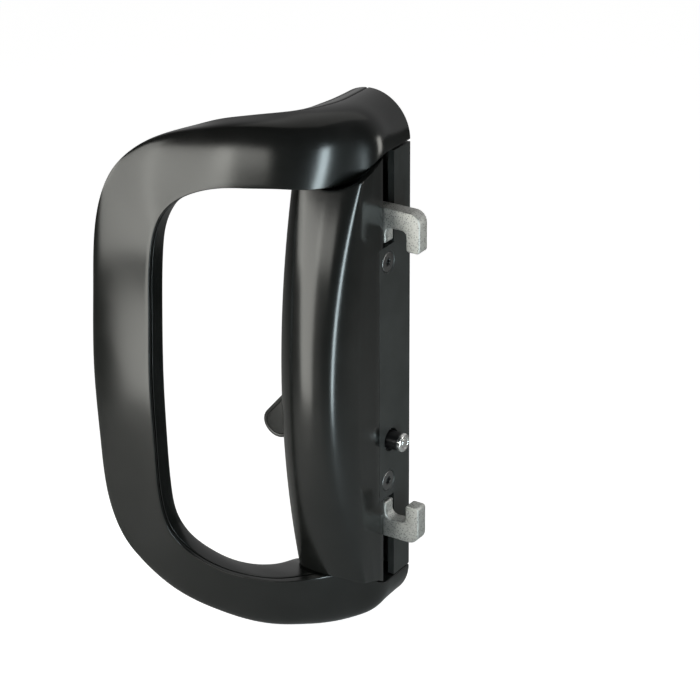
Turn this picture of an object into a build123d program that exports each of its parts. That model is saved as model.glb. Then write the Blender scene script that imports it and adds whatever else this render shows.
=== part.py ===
"""Sliding door lock: surface lock with a D pull, two opposed hooks and an anti-lockout plunger.

Frame: +X towards the jamb (the hooks stand out that way), the door's face is the plane Y = 0 and
the user is on the -Y side, +Z up. The origin is the middle of the back face. Millimetres.
Rest pose: hooks nearest each other, snib lever down, plunger out.
"""

import math
import os

from build123d import *

# Body of the lock
HALF_W = 19.0            # half the width of casing and end caps, so the edge face is at X = 19
CAP_Z = 99.5             # where the straight edges end and the half-round caps begin
CAP_GAP = 0.8            # shadow gap between casing and caps
PLATE_T = 3.0            # base plate on the door
EDGE_T = 3.0             # edge wall
COVER_T = 2.5            # wall of the curved cover
SEAM_Y = -24.2           # where edge wall and cover meet between the slots
SLOT_Y = (-12.6, -21.4)  # the two long sides of a hook slot
SLOT_END_Z = 58.3        # inner end of a hook slot

# Curved cover, seen from above: the ridge stands at the edge side, the shoulder slopes to the pull
RIDGE_Y = 59.3
RIDGE_BOW_R = 190.0
SHOULDER_Y = 45.5
SHOULDER_BOW_R = 400.0
RIDGE_TURN = 3.0         # rounding between the edge side and the crown
COVER_BACK_Y = 2.0       # its outline is drawn past the door's plane, then trimmed
COVER_END_Z = 104.0      # the bowed cover is drawn past its ends, then trimmed

# Pull: three rails for the upper half, from the door to the middle of the grip
CREASE_RAIL = [
    (19, 0, 99.5), (19, -7, 99.5), (19, -14, 99.5), (19, -20.2, 99.2), (17.4, -25.6, 96),
    (13.9, -30.4, 92), (9.9, -36, 89.6), (5.4, -43, 89.1), (-0.8, -50, 89.5), (-9.5, -56.2, 90.2),
    (-20, -61, 89.9), (-31, -64.3, 88.9), (-42, -67, 85.8), (-51.8, -69.6, 80.2), (-58, -72, 72),
    (-60.6, -74.2, 60), (-61, -76.6, 32), (-61, -78, 0),
]
SEAM_RAIL = [
    (0, 0, 118.5), (0, -7, 118.5), (0, -14, 118.5), (-0.4, -20, 118.5), (-1.6, -25, 118.5),
    (-3.6, -30.3, 118.4), (-7.2, -35.6, 118.2), (-13, -40.8, 117.8), (-20, -45.4, 117.1), (-28, -50, 116),
    (-37, -53.7, 114.2), (-47, -57.2, 111), (-58.6, -60.4, 107), (-71.2, -63.6, 100.4), (-82.4, -66.6, 90.2),
    (-89.8, -68.8, 75), (-92.8, -70.8, 37), (-93.2, -71.5, 0),
]
BACK_RAIL = [
    (-19, 0, 99.5), (-19, -7, 99.5), (-19, -14, 99.5), (-19, -20.4, 99.3), (-18.9, -26, 96.6),
    (-18.7, -31, 93), (-19, -36.5, 91.2), (-21.4, -43, 90.6), (-26.8, -48.4, 90.2), (-33.6, -51.8, 89.5),
    (-41, -54.2, 87.8), (-48.2, -56.2, 84.6), (-54, -58.6, 80), (-58.2, -61, 73.6), (-60.4, -63, 66),
    (-61, -64.6, 56), (-61, -66.6, 30), (-61, -67.5, 0),
]
ROUND_CAP = 0.5523       # handle of a quarter circle, for the half-round caps
ROUND_GRIP = 0.91        # a flatter face with a tighter outer corner, for the grip
CORNER_GRIP = 0.88       # how square that outer corner is towards the front and the back
SEAM_SHARE_CAP = 0.5     # where the seam crosses the inner face: the middle at a cap
SEAM_SHARE_GRIP = 0.15   # and just behind the front crease along the grip
SEAM_GAP = 0.3           # fine gap between the two shells
SEAM_BEHIND = 1.2        # the parting runs this far behind the widest line of the outer side
TOOL_RUNOUT = 6.0

# Mechanism
MODULE = 1.0
TEETH = 18
PITCH_R = MODULE * TEETH / 2
PRESSURE_ANGLE = 20.0    # degrees
BASE_R = PITCH_R * math.cos(math.radians(PRESSURE_ANGLE))
BACKLASH = 0.16          # clearance of each flank, along the pitch line
LEVER_REST = 45.0        # degrees below level at rest, and as far above it at the other end
TRAVEL = PITCH_R * math.radians(2 * LEVER_REST)
SLIDE_Y = (-22.6, -25.6)
CHASSIS_Y = (-20.4, -22.2)
GUIDE_Y = (-26.0, -27.5)
LEVER_Y = (-28.3, -33.0)
TAB_START = 33.4         # where the thick thumb tab begins, along the lever
LEG_X = (10.25, 15.1)    # slide leg, from tooth root to outer edge
HOOK_Y = (-13.8, -20.2)
PAD_X = (4.0, 14.5)

# Hooks, upper one: distances from the edge face and heights
HOOK_OUT_X = 35.8
HOOK_IN_X = 29.3
HOOK_TIP_Z = 58.6
HOOK_THROAT_Z = 67.5
HOOK_TOP_Z = 76.2
HOOK_BODY_X = 3.0
HOOK_BODY_TOP = 82.0
RIVET_X = 9.2
RIVET_Z = (66.5, 76.0)
RIVET_R = 2.0
RIVET_PLAY = 0.04

# Plunger
PLUNGER_YZ = (-15.0, -31.9)
PLUNGER_HOLE_R = 5.25
SLEEVE_R = 4.0
SLEEVE_X = (9.0, 24.1)
TIP_X = 26.0
TIP_R = 4.1
STEM_R = 1.5
PLUNGER_TRAVEL = 6.5
BORE_FLOOR_X = -5.0

# Fasteners
EDGE_SCREW_YZ = (-16.9, 50.8)
EDGE_SCREW_R = 2.5
EDGE_HEAD_R = 4.95
POST_X = -8.0
POST_Z = 84.0
POST_R = 6.0
POST_BORE_R = 2.5
POST_END_Y = -15.0
COVER_BOSS = (-12.9, 94.0)
TONGUE_END_Z = 112.0
TONGUE_HALF_W = 11.0
HANDLE_SCREW_X = 6.2
HANDLE_SCREW_Z = 106.5
SHELL_SCREW_Z = (0.0, 50.0)
GUIDE_SCREW_Z = 34.0


def save(shape, node):
    """Writes one node's solids to parts/NODE.step."""
    export_step(shape, f"parts/{node}.step")


def block(x, y, z):
    """A box from three (low, high) or (high, low) spans."""
    size = [abs(b - a) for a, b in (x, y, z)]
    middle = [(a + b) / 2 for a, b in (x, y, z)]
    return Pos(*middle) * Box(*size)


def rod(radius, start, end):
    """A round bar between two points that lie along one axis."""
    a, b = Vector(*start), Vector(*end)
    return Solid.make_cylinder(radius, (b - a).length, Plane(origin=a, z_dir=b - a))


def both_ends(shape):
    """The shape and its mirror image below the middle."""
    return shape + mirror(shape, about=Plane.XY)


# Pull

def mirrored_rail(rail):
    """A whole rail: the upper half followed by its mirror image."""
    return [Vector(*p) for p in rail] + [Vector(x, y, -z) for x, y, z in rail[-2::-1]]


def half_share(index, count):
    """0 at either door end of the pull and 1 in the middle, with a soft start and end."""
    share = 1 - abs(2 * index / (count - 1) - 1)
    share = min(1.0, share * 1.7)
    return share * share * (3 - 2 * share)


def blend(low, high, share):
    return low + (high - low) * share


def pull_axes(crease, seam, back):
    """Unit vectors of a section: across it towards the front, and outwards from the opening."""
    across = (crease - back).normalized()
    reach = seam - crease
    outward = reach - across * reach.dot(across)
    return across, outward.normalized()


def pull_sections():
    """Crease, seam and back points with their axes, from cap to cap."""
    rails = [mirrored_rail(rail) for rail in (CREASE_RAIL, SEAM_RAIL, BACK_RAIL)]
    sections = []
    for index, (crease, seam, back) in enumerate(zip(*rails)):
        across, outward = pull_axes(crease, seam, back)
        sections.append((crease, seam, back, across, outward, half_share(index, len(rails[0]))))
    return sections


def pull_outline(crease, seam, back, across, outward, share):
    """One section: a flat inner side, a crowned front and a rounded back that meet at the seam."""
    handle = blend(ROUND_CAP, ROUND_GRIP, share)
    height = (seam - crease).dot(outward)
    front_reach = (crease - seam).dot(across)
    back_reach = (seam - back).dot(across)
    back_height = (seam - back).dot(outward)
    corner = blend(ROUND_CAP, CORNER_GRIP, share)
    front = Edge.make_bezier(crease, crease + outward * handle * height,
                             seam + across * corner * front_reach, seam)
    rear = Edge.make_bezier(seam, seam - across * corner * back_reach,
                            back + outward * handle * back_height, back)
    return Wire([front, rear, Edge.make_line(back, crease)])


def seam_line(crease, seam, back, across, share):
    """Where the parting face of the two shells meets the inner side and the outer side."""
    inner = crease + (back - crease) * blend(SEAM_SHARE_CAP, SEAM_SHARE_GRIP, share)
    return inner, seam - across * SEAM_BEHIND


def parting_outline(crease, seam, back, across, outward, share, set_back):
    """A section of everything in front of the parting face, well past the pull on all sides."""
    inner, outer = seam_line(crease, seam, back, across, share)
    along = (outer - inner).normalized()
    shift = (across - along * across.dot(along)).normalized() * -set_back
    low, high = inner - along * 8 + shift, outer + along * 8 + shift
    return Wire.make_polygon([low, high, high + across * 60, low + across * 60], close=True)


def past_the_door(sections):
    """The sections with one more at each end, so that a tool runs out through the door's plane."""
    def moved(section):
        step = Vector(0, TOOL_RUNOUT, 0)
        return tuple(p + step for p in section[:3]) + section[3:]
    return [moved(sections[0])] + sections + [moved(sections[-1])]


def pull_blank():
    return Solid.make_loft([pull_outline(*s) for s in pull_sections()])


def cap_pockets(grown):
    """Room in both caps for the base plate's tongues."""
    width = TONGUE_HALF_W + grown
    pocket = block((-width, width), (1, -PLATE_T - grown), (CAP_Z - 2, TONGUE_END_Z + grown))
    return both_ends(pocket)


def shell_screw_axes():
    """The middle of the grip's back, at the height of each screw that joins the shells."""
    heights = sorted({z * side for z in SHELL_SCREW_Z for side in (1, -1)})
    return [(-76.0, z) for z in heights]


def in_front_of_seam(set_back):
    """Tool for parting the shells; a set-back leaves the fine gap that shows as the seam."""
    sections = past_the_door(pull_sections())
    return Solid.make_loft([parting_outline(*s, set_back) for s in sections])


def pull_shells():
    blank = pull_blank()
    front = blank & in_front_of_seam(0)
    rear = blank - in_front_of_seam(SEAM_GAP)
    holes = cap_pockets(0.2)
    for x in (HANDLE_SCREW_X, -HANDLE_SCREW_X):
        holes = holes + both_ends(rod(2.0, (x, 1, HANDLE_SCREW_Z), (x, -13, HANDLE_SCREW_Z)))
    front = front - holes
    rear = rear - holes
    for x, z in shell_screw_axes():
        hole = rod(1.6, (x, -55, z), (x, -72.6, z)) + rod(3.1, (x, -55, z), (x, -66.5, z))
        front = front - hole
        rear = rear - hole
    return front, rear


# Base and casing

def base_frame():
    """Base plate, slotted edge wall, tongues for the caps and two tapped mounting posts."""
    end_z = CAP_Z - CAP_GAP
    plate = block((-HALF_W + COVER_T + 0.2, HALF_W), (0, -PLATE_T), (-end_z, end_z))
    near, far = SLOT_Y
    outline = Polyline((0, -end_z), (near, -end_z), (near, -SLOT_END_Z), (SEAM_Y, -SLOT_END_Z),
                       (SEAM_Y, SLOT_END_Z), (near, SLOT_END_Z), (near, end_z), (0, end_z), close=True)
    wall = extrude(Plane.YZ.offset(HALF_W - EDGE_T) * make_face(outline), EDGE_T)
    tongue = block((-TONGUE_HALF_W, TONGUE_HALF_W), (0, -PLATE_T), (end_z - 1, TONGUE_END_Z))
    tongue = fillet(tongue.edges().filter_by(Axis.Y).group_by(Axis.Z)[-1], 3.0)
    post = rod(POST_R, (POST_X, -1, POST_Z), (POST_X, POST_END_Y, POST_Z))
    body = plate + wall + both_ends(tongue + post)
    body = body - both_ends(rod(POST_BORE_R, (POST_X, 1, POST_Z), (POST_X, -20, POST_Z)))
    for x in (HANDLE_SCREW_X, -HANDLE_SCREW_X):
        body = body - both_ends(countersunk_hole((x, 0, HANDLE_SCREW_Z), (0, -1, 0), 2.0, 3.6))
    boss_x, boss_z = COVER_BOSS
    body = body - both_ends(countersunk_hole((boss_x, 0, boss_z), (0, -1, 0), 1.5, 2.8))
    y, z = EDGE_SCREW_YZ
    body = body - both_ends(countersunk_hole((HALF_W, y, z), (-1, 0, 0), EDGE_SCREW_R, EDGE_HEAD_R))
    y, z = PLUNGER_YZ
    return body - rod(PLUNGER_HOLE_R, (HALF_W + 1, y, z), (HALF_W - EDGE_T - 1, y, z))


def countersunk_hole(mouth, into, radius, head_radius):
    """Through hole with a 90 degree countersink at the mouth; the direction points into the wall."""
    start, way = Vector(*mouth), Vector(*into)
    shank = Solid.make_cylinder(radius, 9, Plane(origin=start - way, z_dir=way))
    depth = head_radius - radius
    cone = Solid.make_cone(head_radius, radius, depth, Plane(origin=start, z_dir=way))
    return shank + cone


def countersunk_screw(mouth, into, radius, head_radius, length, recess):
    """Screw whose flat head lies flush in such a hole, with a recess drawn as a sketch."""
    start, way = Vector(*mouth), Vector(*into)
    depth = head_radius - radius
    shank = Solid.make_cylinder(radius, length, Plane(origin=start, z_dir=way))
    head = Solid.make_cone(head_radius, radius, depth, Plane(origin=start, z_dir=way))
    tool = extrude(Plane(origin=start, z_dir=way) * recess, head_radius * 0.35, both=True)
    return shank + head - tool


def six_lobed(radius):
    """Recess of the screws that show on the edge."""
    points = [polar(radius * (0.68 if corner % 2 else 1.0), 30 * corner) for corner in range(12)]
    return make_face(Polyline(*points, close=True))


def hexagonal(radius):
    """Recess of the screws that hide behind the lock."""
    return RegularPolygon(radius, 6)


def polar(radius, degrees):
    angle = math.radians(degrees)
    return radius * math.cos(angle), radius * math.sin(angle)


def bow(z):
    """Y of the ridge and of the shoulder at one height; both are parabolas over the height."""
    return -(RIDGE_Y - z * z / (2 * RIDGE_BOW_R)), -(SHOULDER_Y - z * z / (2 * SHOULDER_BOW_R))


def cover_section(z):
    """Cover outline at one height: edge side, ridge, sloping crown and pull side."""
    ridge, shoulder = bow(z)
    right, left = HALF_W, -HALF_W
    crown_end = shoulder + 9
    lines = [
        Edge.make_line((right, COVER_BACK_Y, z), (right, ridge + RIDGE_TURN, z)),
        Edge.make_bezier((right, ridge + RIDGE_TURN, z), (right, ridge + RIDGE_TURN * 0.3, z),
                         (right - RIDGE_TURN * 0.45, ridge - 0.1, z), (right - RIDGE_TURN, ridge + 0.25, z)),
        Edge.make_bezier((right - RIDGE_TURN, ridge + 0.25, z), (right - 17, ridge + 2.4, z),
                         (left, shoulder - 4.5, z), (left, crown_end, z)),
        Edge.make_line((left, crown_end, z), (left, COVER_BACK_Y, z)),
        Edge.make_line((left, COVER_BACK_Y, z), (right, COVER_BACK_Y, z)),
    ]
    return Wire(lines)


def cavity_section(z):
    """Inside of the cover at one height: one wall in from the outline, with plain corners."""
    ridge, shoulder = bow(z)
    right, left = HALF_W - COVER_T, -HALF_W + COVER_T
    corners = [(right, COVER_BACK_Y), (right, ridge + COVER_T + 1), (left + 8, shoulder + COVER_T - 1),
               (left, shoulder + COVER_T + 7), (left, COVER_BACK_Y)]
    return Wire.make_polygon([Vector(x, y, z) for x, y in corners], close=True)


def bowed(section):
    """Loft through the section at both ends and in the middle, which makes each bow a parabola."""
    return Solid.make_loft([section(z) for z in (-COVER_END_Z, 0.0, COVER_END_Z)])


def beyond_the_cover():
    """Room above the cover: level behind the cap, then a gap that follows the arm's front crease."""
    end = CAP_Z - CAP_GAP
    line = Polyline((-20, end), (5, end), (5, 130), (-90, 130), (-90, 88.3), (-43, 88.3))
    slope = Spline((-43, 88.3), (-36, 88.8), (-30.4, 91.2), (-25.6, 95.2), (-20, end),
                   tangents=((1, 0), (1, 0.12)))
    return extrude(Plane.YZ * make_face(line + slope), 30, both=True)


def lock_cover(pull):
    """Curved cover: a bowed shell that closes on the edge wall and fits round the pull's arms."""
    shell = bowed(cover_section) - bowed(cavity_section)
    shell = shell - block((-30, 30), (0, 10), (-120, 120))
    inside = HALF_W - EDGE_T - 1
    clear = 0.15
    near, far = SLOT_Y
    shell = shell - block((inside, 30), (1, SEAM_Y - clear), (-SLOT_END_Z, SLOT_END_Z))
    shell = shell - both_ends(block((inside, 30), (1, far), (SLOT_END_Z - 0.1, 120)))
    shell = shell - both_ends(beyond_the_cover())
    boss_x, boss_z = COVER_BOSS
    boss = rod(3.7, (boss_x, -PLATE_T - 0.05, boss_z), (boss_x, -22, boss_z))
    shell = shell + both_ends(boss)
    shell = shell - both_ends(rod(1.5, (boss_x, 0, boss_z), (boss_x, -14, boss_z)))
    reach = LEVER_REST + 9
    low, high = LEVER_Y
    slot = block((-HALF_W - 2, -HALF_W + 4), (low + 0.9, high - 0.9), (-reach * 0.55, reach * 0.55))
    slot = fillet(slot.edges().filter_by(Axis.X), 2.4)
    shell = shell - slot
    shell = shell - pull
    for side in (1, -1):
        shell = shell - Pos(0, 0, -side * CAP_GAP) * pull
    return shell.solids().sort_by(SortBy.VOLUME)[-1]


# Mechanism

def mechanism_chassis():
    """Casting behind the slides: guide rails, screw lugs, plunger barrel and posts for the guide."""
    inner_x = HALF_W - EDGE_T - 0.05
    back, front = CHASSIS_Y
    plate = block((-inner_x, inner_x), (back, front), (-57, 57))
    rails = Part() + block((-inner_x, -LEG_X[1] - 0.15), (back, SLIDE_Y[1] - 0.2), (-50, 50))
    rails = rails + block((LEG_X[1] + 0.15, inner_x), (back, SLIDE_Y[1] - 0.2), (-50, 50))
    lug = block((3, inner_x), (-PLATE_T - 0.05, back - 0.5), (44.8, 56.8))
    y, z = PLUNGER_YZ
    barrel = rod(6.6, (BORE_FLOOR_X - 2, y, z), (inner_x, y, z))
    web = block((BORE_FLOOR_X - 2, inner_x), (y, back - 0.5), (z - 3, z + 3))
    post = rod(3.0, (0, front + 1, GUIDE_SCREW_Z), (0, GUIDE_Y[0], GUIDE_SCREW_Z))
    body = plate + rails + both_ends(lug + post) + barrel + web
    body = body - rod(SLEEVE_R + 0.06, (inner_x + 1, y, z), (BORE_FLOOR_X, y, z))
    body = body - rod(STEM_R + 0.1, (0, y, z), (-20, y, z))
    body = body - rod(3.55, (0, -10, 0), (0, -24, 0))
    body = body - both_ends(rod(1.25, (0, -23, GUIDE_SCREW_Z), (0, -30, GUIDE_SCREW_Z)))
    y, z = EDGE_SCREW_YZ
    return body - both_ends(rod(EDGE_SCREW_R, (30, y, z), (6.9, y, z)))


def guide_plate():
    """Steel plate in front of the slides, with the spindle's front bearing and a spring post."""
    plate = block((-15.3, 15.3), GUIDE_Y, (-46, 46))
    plate = fillet(plate.edges().filter_by(Axis.Y), 3.0)
    plate = plate - rod(6.0, (0, -20, 0), (0, -30, 0))
    plate = plate - both_ends(rod(1.6, (0, -20, GUIDE_SCREW_Z), (0, -30, GUIDE_SCREW_Z)))
    return plate + rod(1.5, (13.5, GUIDE_Y[0] - 0.5, 0), (13.5, -35.2, 0))


def guide_screws():
    """Two cheese-head screws that hold the guide plate to its posts."""
    group = []
    for height in (GUIDE_SCREW_Z, -GUIDE_SCREW_Z):
        shank = rod(1.25, (0, -23.2, height), (0, GUIDE_Y[1], height))
        head = rod(2.6, (0, GUIDE_Y[1], height), (0, GUIDE_Y[1] - 1.9, height))
        slot = block((-0.4, 0.4), (GUIDE_Y[1] - 1.1, GUIDE_Y[1] - 3), (height - 3, height + 3))
        group.append(shank + head - slot)
    return group


def front_bush():
    sleeve = rod(6.0, (0, GUIDE_Y[0], 0), (0, GUIDE_Y[1], 0))
    flange = rod(7.2, (0, GUIDE_Y[1], 0), (0, GUIDE_Y[1] - 0.6, 0))
    return sleeve + flange - rod(5.05, (0, -20, 0), (0, -30, 0))


def involute(radius):
    """Angle that an involute has swept where it reaches a radius, from the base circle out."""
    pressure = math.acos(min(1.0, BASE_R / radius))
    return math.tan(pressure) - pressure


def tooth_gap():
    """The space between two pinion teeth: involute flanks, radial below the base circle."""
    quarter_pitch = math.pi / (2 * TEETH)
    at_pitch = quarter_pitch + BACKLASH / (2 * PITCH_R)

    def flank(radius, side):
        half = at_pitch + involute(max(radius, BASE_R)) - involute(PITCH_R)
        return radius * math.cos(half), side * radius * math.sin(half)

    root, past_tip = PITCH_R - 1.25 * MODULE, PITCH_R + 1.3 * MODULE
    low, middle, high = BASE_R, PITCH_R, past_tip
    lines = Polyline(flank(low, 1), flank(root, 1), flank(root, -1), flank(low, -1))
    lines = lines + ThreePointArc(flank(low, -1), flank(middle, -1), flank(high, -1))
    lines = lines + Line(flank(high, -1), flank(high, 1))
    return make_face(lines + ThreePointArc(flank(high, 1), flank(middle, 1), flank(low, 1)))


def pinion():
    """Spur gear on the spindle, in mesh with a rack on either side."""
    low, high = SLIDE_Y[0] - 0.1, SLIDE_Y[1] + 0.1
    disc = Circle(PITCH_R + MODULE)
    gap = tooth_gap()
    for tooth in range(TEETH):
        disc = disc - Rot(0, 0, 360 / TEETH * (tooth + 0.5)) * gap
    disc = disc - Rectangle(7, 7)
    return extrude(Plane(origin=(0, low, 0), x_dir=(1, 0, 0), z_dir=(0, -1, 0)) * disc, low - high)


def spindle():
    """Stepped shaft: rear journal, square for the pinion, front journal, square for the lever."""
    body = rod(3.5, (0, CHASSIS_Y[0] + 0.6, 0), (0, SLIDE_Y[0] + 0.2, 0))
    body = body + block((-3.5, 3.5), (SLIDE_Y[0] + 0.2, -26), (-3.5, 3.5))
    body = body + rod(5.0, (0, -26, 0), (0, LEVER_Y[0] + 0.1, 0))
    square = block((-3.5, 3.5), (LEVER_Y[0] + 0.1, LEVER_Y[1] + 0.4), (-3.5, 3.5))
    body = body + Rot(0, -LEVER_REST, 0) * square
    return body - rod(1.6, (0, -27, 0), (0, -40, 0))


def snib_lever():
    """Thumb lever: a hub on the spindle, an arm through the cover's slot and a rounded tab."""
    low, high = LEVER_Y
    face = Plane(origin=(0, low, 0), x_dir=(-1, 0, 0), z_dir=(0, -1, 0))
    arm = Polyline((0, -6.2), (27, -4.2), (31, -4.8), (36, -5.2)) + ThreePointArc((36, -5.2), (45, 0.6), (37, 5.6))
    arm = arm + Polyline((37, 5.6), (31, 4.8), (27, 4.2), (0, 6.2), (0, -6.2))
    sketch = make_face(arm) + Circle(8.2)
    body = extrude(face * sketch, low - high)
    tab = Polyline((TAB_START, -4.9), (36, -5.2)) + ThreePointArc((36, -5.2), (45, 0.6), (37, 5.6))
    tab = tab + Polyline((37, 5.6), (TAB_START, 4.9), (TAB_START, -4.9))
    thick = extrude(Plane(origin=(0, low + 1, 0), x_dir=(-1, 0, 0), z_dir=(0, -1, 0)) * make_face(tab),
                    low - high + 2.2)
    rim = thick.edges().filter_by(Plane.XZ).group_by(Axis.Y)[0]
    thick = chamfer(rim, 0.9)
    body = body + thick
    body = body - block((-3.5, 3.5), (low + 5, high - 5), (-3.5, 3.5))
    peg = Plane(origin=(0, high + 0.5, 0), x_dir=(-1, 0, 0), z_dir=(0, -1, 0))
    body = body + extrude(peg * (Pos(-6.2, 0) * Circle(1.1)), 2.4)
    return Rot(0, -LEVER_REST, 0) * body


def lever_screw():
    """Slotted screw whose wide head holds the lever on the spindle."""
    top = LEVER_Y[1]
    shank = rod(1.6, (0, top + 4, 0), (0, top, 0))
    head = rod(3.9, (0, top, 0), (0, top - 2.4, 0))
    head = chamfer(head.edges().group_by(Axis.Y)[0], 1.0)
    slot = block((-0.5, 0.5), (top - 1.3, top - 4), (-6, 6))
    return shank + head - slot


def snap_spring():
    """Hairpin spring that throws the lever to either end: an eye at each end and an open loop."""
    angle = math.radians(LEVER_REST)
    peg = (6.2 * math.cos(angle), 6.2 * math.sin(angle))
    post = (13.5, 0.0)
    wire = 0.9
    path = Polyline((peg[0] + 0.9, peg[1] + 1.3), (8.6, 8.6))
    path = path + ThreePointArc((8.6, 8.6), (13.6, 10.6), (15.3, 5.6))
    path = path + Line((15.3, 5.6), (post[0] + 1.2, post[1] + 1.4))
    band = trace(path, wire)
    for (x, z), inner in ((peg, 1.15), (post, 1.55)):
        band = band + Pos(x, z) * (Circle(inner + wire) - Circle(inner))
        band = band - Pos(x, z) * Circle(inner)
    plane = Plane(origin=(0, LEVER_Y[1] - 0.4, 0), x_dir=(1, 0, 0), z_dir=(0, -1, 0))
    return extrude(plane * band, 1.0)


def rack_leg(low_z, high_z, teeth_low, teeth_high):
    """Slide leg on the +X side of the pinion: teeth face -X, a gap lies level with its axis."""
    outline = [(LEG_X[1], low_z), (LEG_X[1], high_z), (LEG_X[0], high_z)]
    pitch = math.pi * MODULE
    lean = math.tan(math.radians(PRESSURE_ANGLE))
    half_root = pitch / 4 - BACKLASH / 2 + 1.25 * MODULE * lean
    half_tip = pitch / 4 - BACKLASH / 2 - MODULE * lean
    tip_x = PITCH_R - MODULE
    first = math.floor(teeth_high / pitch)
    last = math.ceil(teeth_low / pitch)
    for tooth in range(first, last - 1, -1):
        z = (tooth + 0.5) * pitch
        outline += [(LEG_X[0], z + half_root), (tip_x, z + half_tip), (tip_x, z - half_tip),
                    (LEG_X[0], z - half_root)]
    outline.append((LEG_X[0], low_z))
    return make_face(Polyline(*outline, close=True))


def slide_solid(sketch):
    plane = Plane(origin=(0, SLIDE_Y[0], 0), x_dir=(1, 0, 0), z_dir=(0, -1, 0))
    return extrude(plane * sketch, SLIDE_Y[0] - SLIDE_Y[1])


def slide_head():
    """Flat end of a slide behind its upper hook."""
    return Pos(RIVET_X, 71.5) * Rectangle(12, 19)


def rivet_holes():
    """The two round holes that a slide and its upper hook share."""
    holes = [Pos(RIVET_X, height) * Circle(RIVET_R + RIVET_PLAY) for height in RIVET_Z]
    return holes[0] + holes[1]


def lower_slide():
    """Straight slide on the edge side; its rack goes down as the lever goes up."""
    leg = rack_leg(-64, 19.5, -4.0, 15.5)
    head = mirror(slide_head(), about=Plane.XZ)
    return slide_solid(leg + head - mirror(rivet_holes(), about=Plane.XZ))


def upper_slide():
    """Cranked slide: the leg runs on the pull side and a bridge crosses over to the hook."""
    leg = Rot(0, 0, 180) * rack_leg(-60, 19.5, -4.0, 15.5)
    bridge = Pos(0, 62.4) * Rectangle(2 * LEG_X[1], 7.0)
    return slide_solid(leg + bridge + slide_head() - rivet_holes())


def hook_outline():
    """Upper hook seen from the door: body, neck, and a beak that points to the middle."""
    face_x = HALF_W + 0.3
    lines = Polyline((HOOK_BODY_X, 60.2), (face_x, 60.2), (face_x, HOOK_THROAT_Z - 3))
    lines = lines + RadiusArc((face_x, HOOK_THROAT_Z - 3), (face_x + 3, HOOK_THROAT_Z), 3)
    lines = lines + Line((face_x + 3, HOOK_THROAT_Z), (HOOK_IN_X - 2.4, HOOK_THROAT_Z))
    lines = lines + RadiusArc((HOOK_IN_X - 2.4, HOOK_THROAT_Z), (HOOK_IN_X, HOOK_THROAT_Z - 2.4), 2.4)
    lines = lines + Polyline((HOOK_IN_X, HOOK_THROAT_Z - 2.4), (HOOK_IN_X, HOOK_TIP_Z + 1.2),
                             (HOOK_IN_X + 1.2, HOOK_TIP_Z), (HOOK_OUT_X - 1.4, HOOK_TIP_Z),
                             (HOOK_OUT_X, HOOK_TIP_Z + 1.4), (HOOK_OUT_X, HOOK_TOP_Z - 5))
    lines = lines + RadiusArc((HOOK_OUT_X, HOOK_TOP_Z - 5), (HOOK_OUT_X - 5, HOOK_TOP_Z), -5)
    lines = lines + Polyline((HOOK_OUT_X - 5, HOOK_TOP_Z), (HALF_W - 3.4, HOOK_TOP_Z),
                             (HALF_W - 3.4, HOOK_BODY_TOP), (HOOK_BODY_X, HOOK_BODY_TOP),
                             (HOOK_BODY_X, 60.2))
    return make_face(lines)


def upper_hook():
    """Sintered hook with a raised pad that is riveted to its slide."""
    plane = Plane(origin=(0, HOOK_Y[0], 0), x_dir=(1, 0, 0), z_dir=(0, -1, 0))
    body = extrude(plane * hook_outline(), HOOK_Y[0] - HOOK_Y[1])
    pad = block(PAD_X, (HOOK_Y[1] + 0.5, SLIDE_Y[0]), (62.2, 80.8))
    body = body + pad
    for height in RIVET_Z:
        body = body - rod(RIVET_R + RIVET_PLAY, (RIVET_X, 0, height), (RIVET_X, -30, height))
    outer = [e for e in body.edges() if e.center().X > HOOK_IN_X - 6 and abs(e.center().Y + 17) > 3]
    return chamfer(outer, 0.35)


def upper_rivets():
    """Two rivets with low flat heads on the slide's side, flush on the hook's."""
    group = []
    for height in RIVET_Z:
        shank = rod(RIVET_R, (RIVET_X, HOOK_Y[0], height), (RIVET_X, SLIDE_Y[1], height))
        head = rod(3.2, (RIVET_X, SLIDE_Y[1], height), (RIVET_X, SLIDE_Y[1] - 1.0, height))
        group.append(shank + head)
    return group


# Plunger

def along_x(profile):
    """Turns a half profile of (x, radius) points about the plunger's axis."""
    y, z = PLUNGER_YZ
    plane = Plane(origin=(0, y, z), x_dir=(1, 0, 0), z_dir=(0, 0, 1))
    sketch = make_face(Polyline(*profile, close=True))
    return revolve(plane * sketch, Axis((0, y, z), (1, 0, 0)))


def plunger_pin():
    """Bright pin: a chamfered, grooved head on a thin stem with a groove for the clip."""
    seat = SLEEVE_X[1]
    profile = [(-8.6, 0), (-8.6, STEM_R), (-8.3, STEM_R), (-8.3, 1.0), (-7.6, 1.0), (-7.6, STEM_R),
               (seat, STEM_R), (seat, TIP_R), (TIP_X - 0.7, TIP_R), (TIP_X, TIP_R - 0.7),
               (TIP_X, 2.6), (TIP_X - 0.5, 2.4), (TIP_X - 0.5, 1.9), (TIP_X, 1.7), (TIP_X, 0)]
    return along_x(profile)


def plunger_sleeve():
    """Dark sleeve that slides in the barrel, with a light chamfer behind the bright head."""
    low, high = SLEEVE_X
    hole = STEM_R
    return along_x([(low, hole), (low, SLEEVE_R), (high - 0.5, SLEEVE_R), (high, SLEEVE_R - 0.5), (high, hole)])


def plunger_clip():
    """Retaining clip in the stem's groove, open at one side."""
    y, z = PLUNGER_YZ
    ring = Circle(3.2) - Circle(1.0) - Pos(3, 0) * Rectangle(6, 1.6)
    plane = Plane(origin=(-8.3, y, z), x_dir=(0, 1, 0), z_dir=(1, 0, 0))
    return extrude(plane * ring, 0.7)


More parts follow.
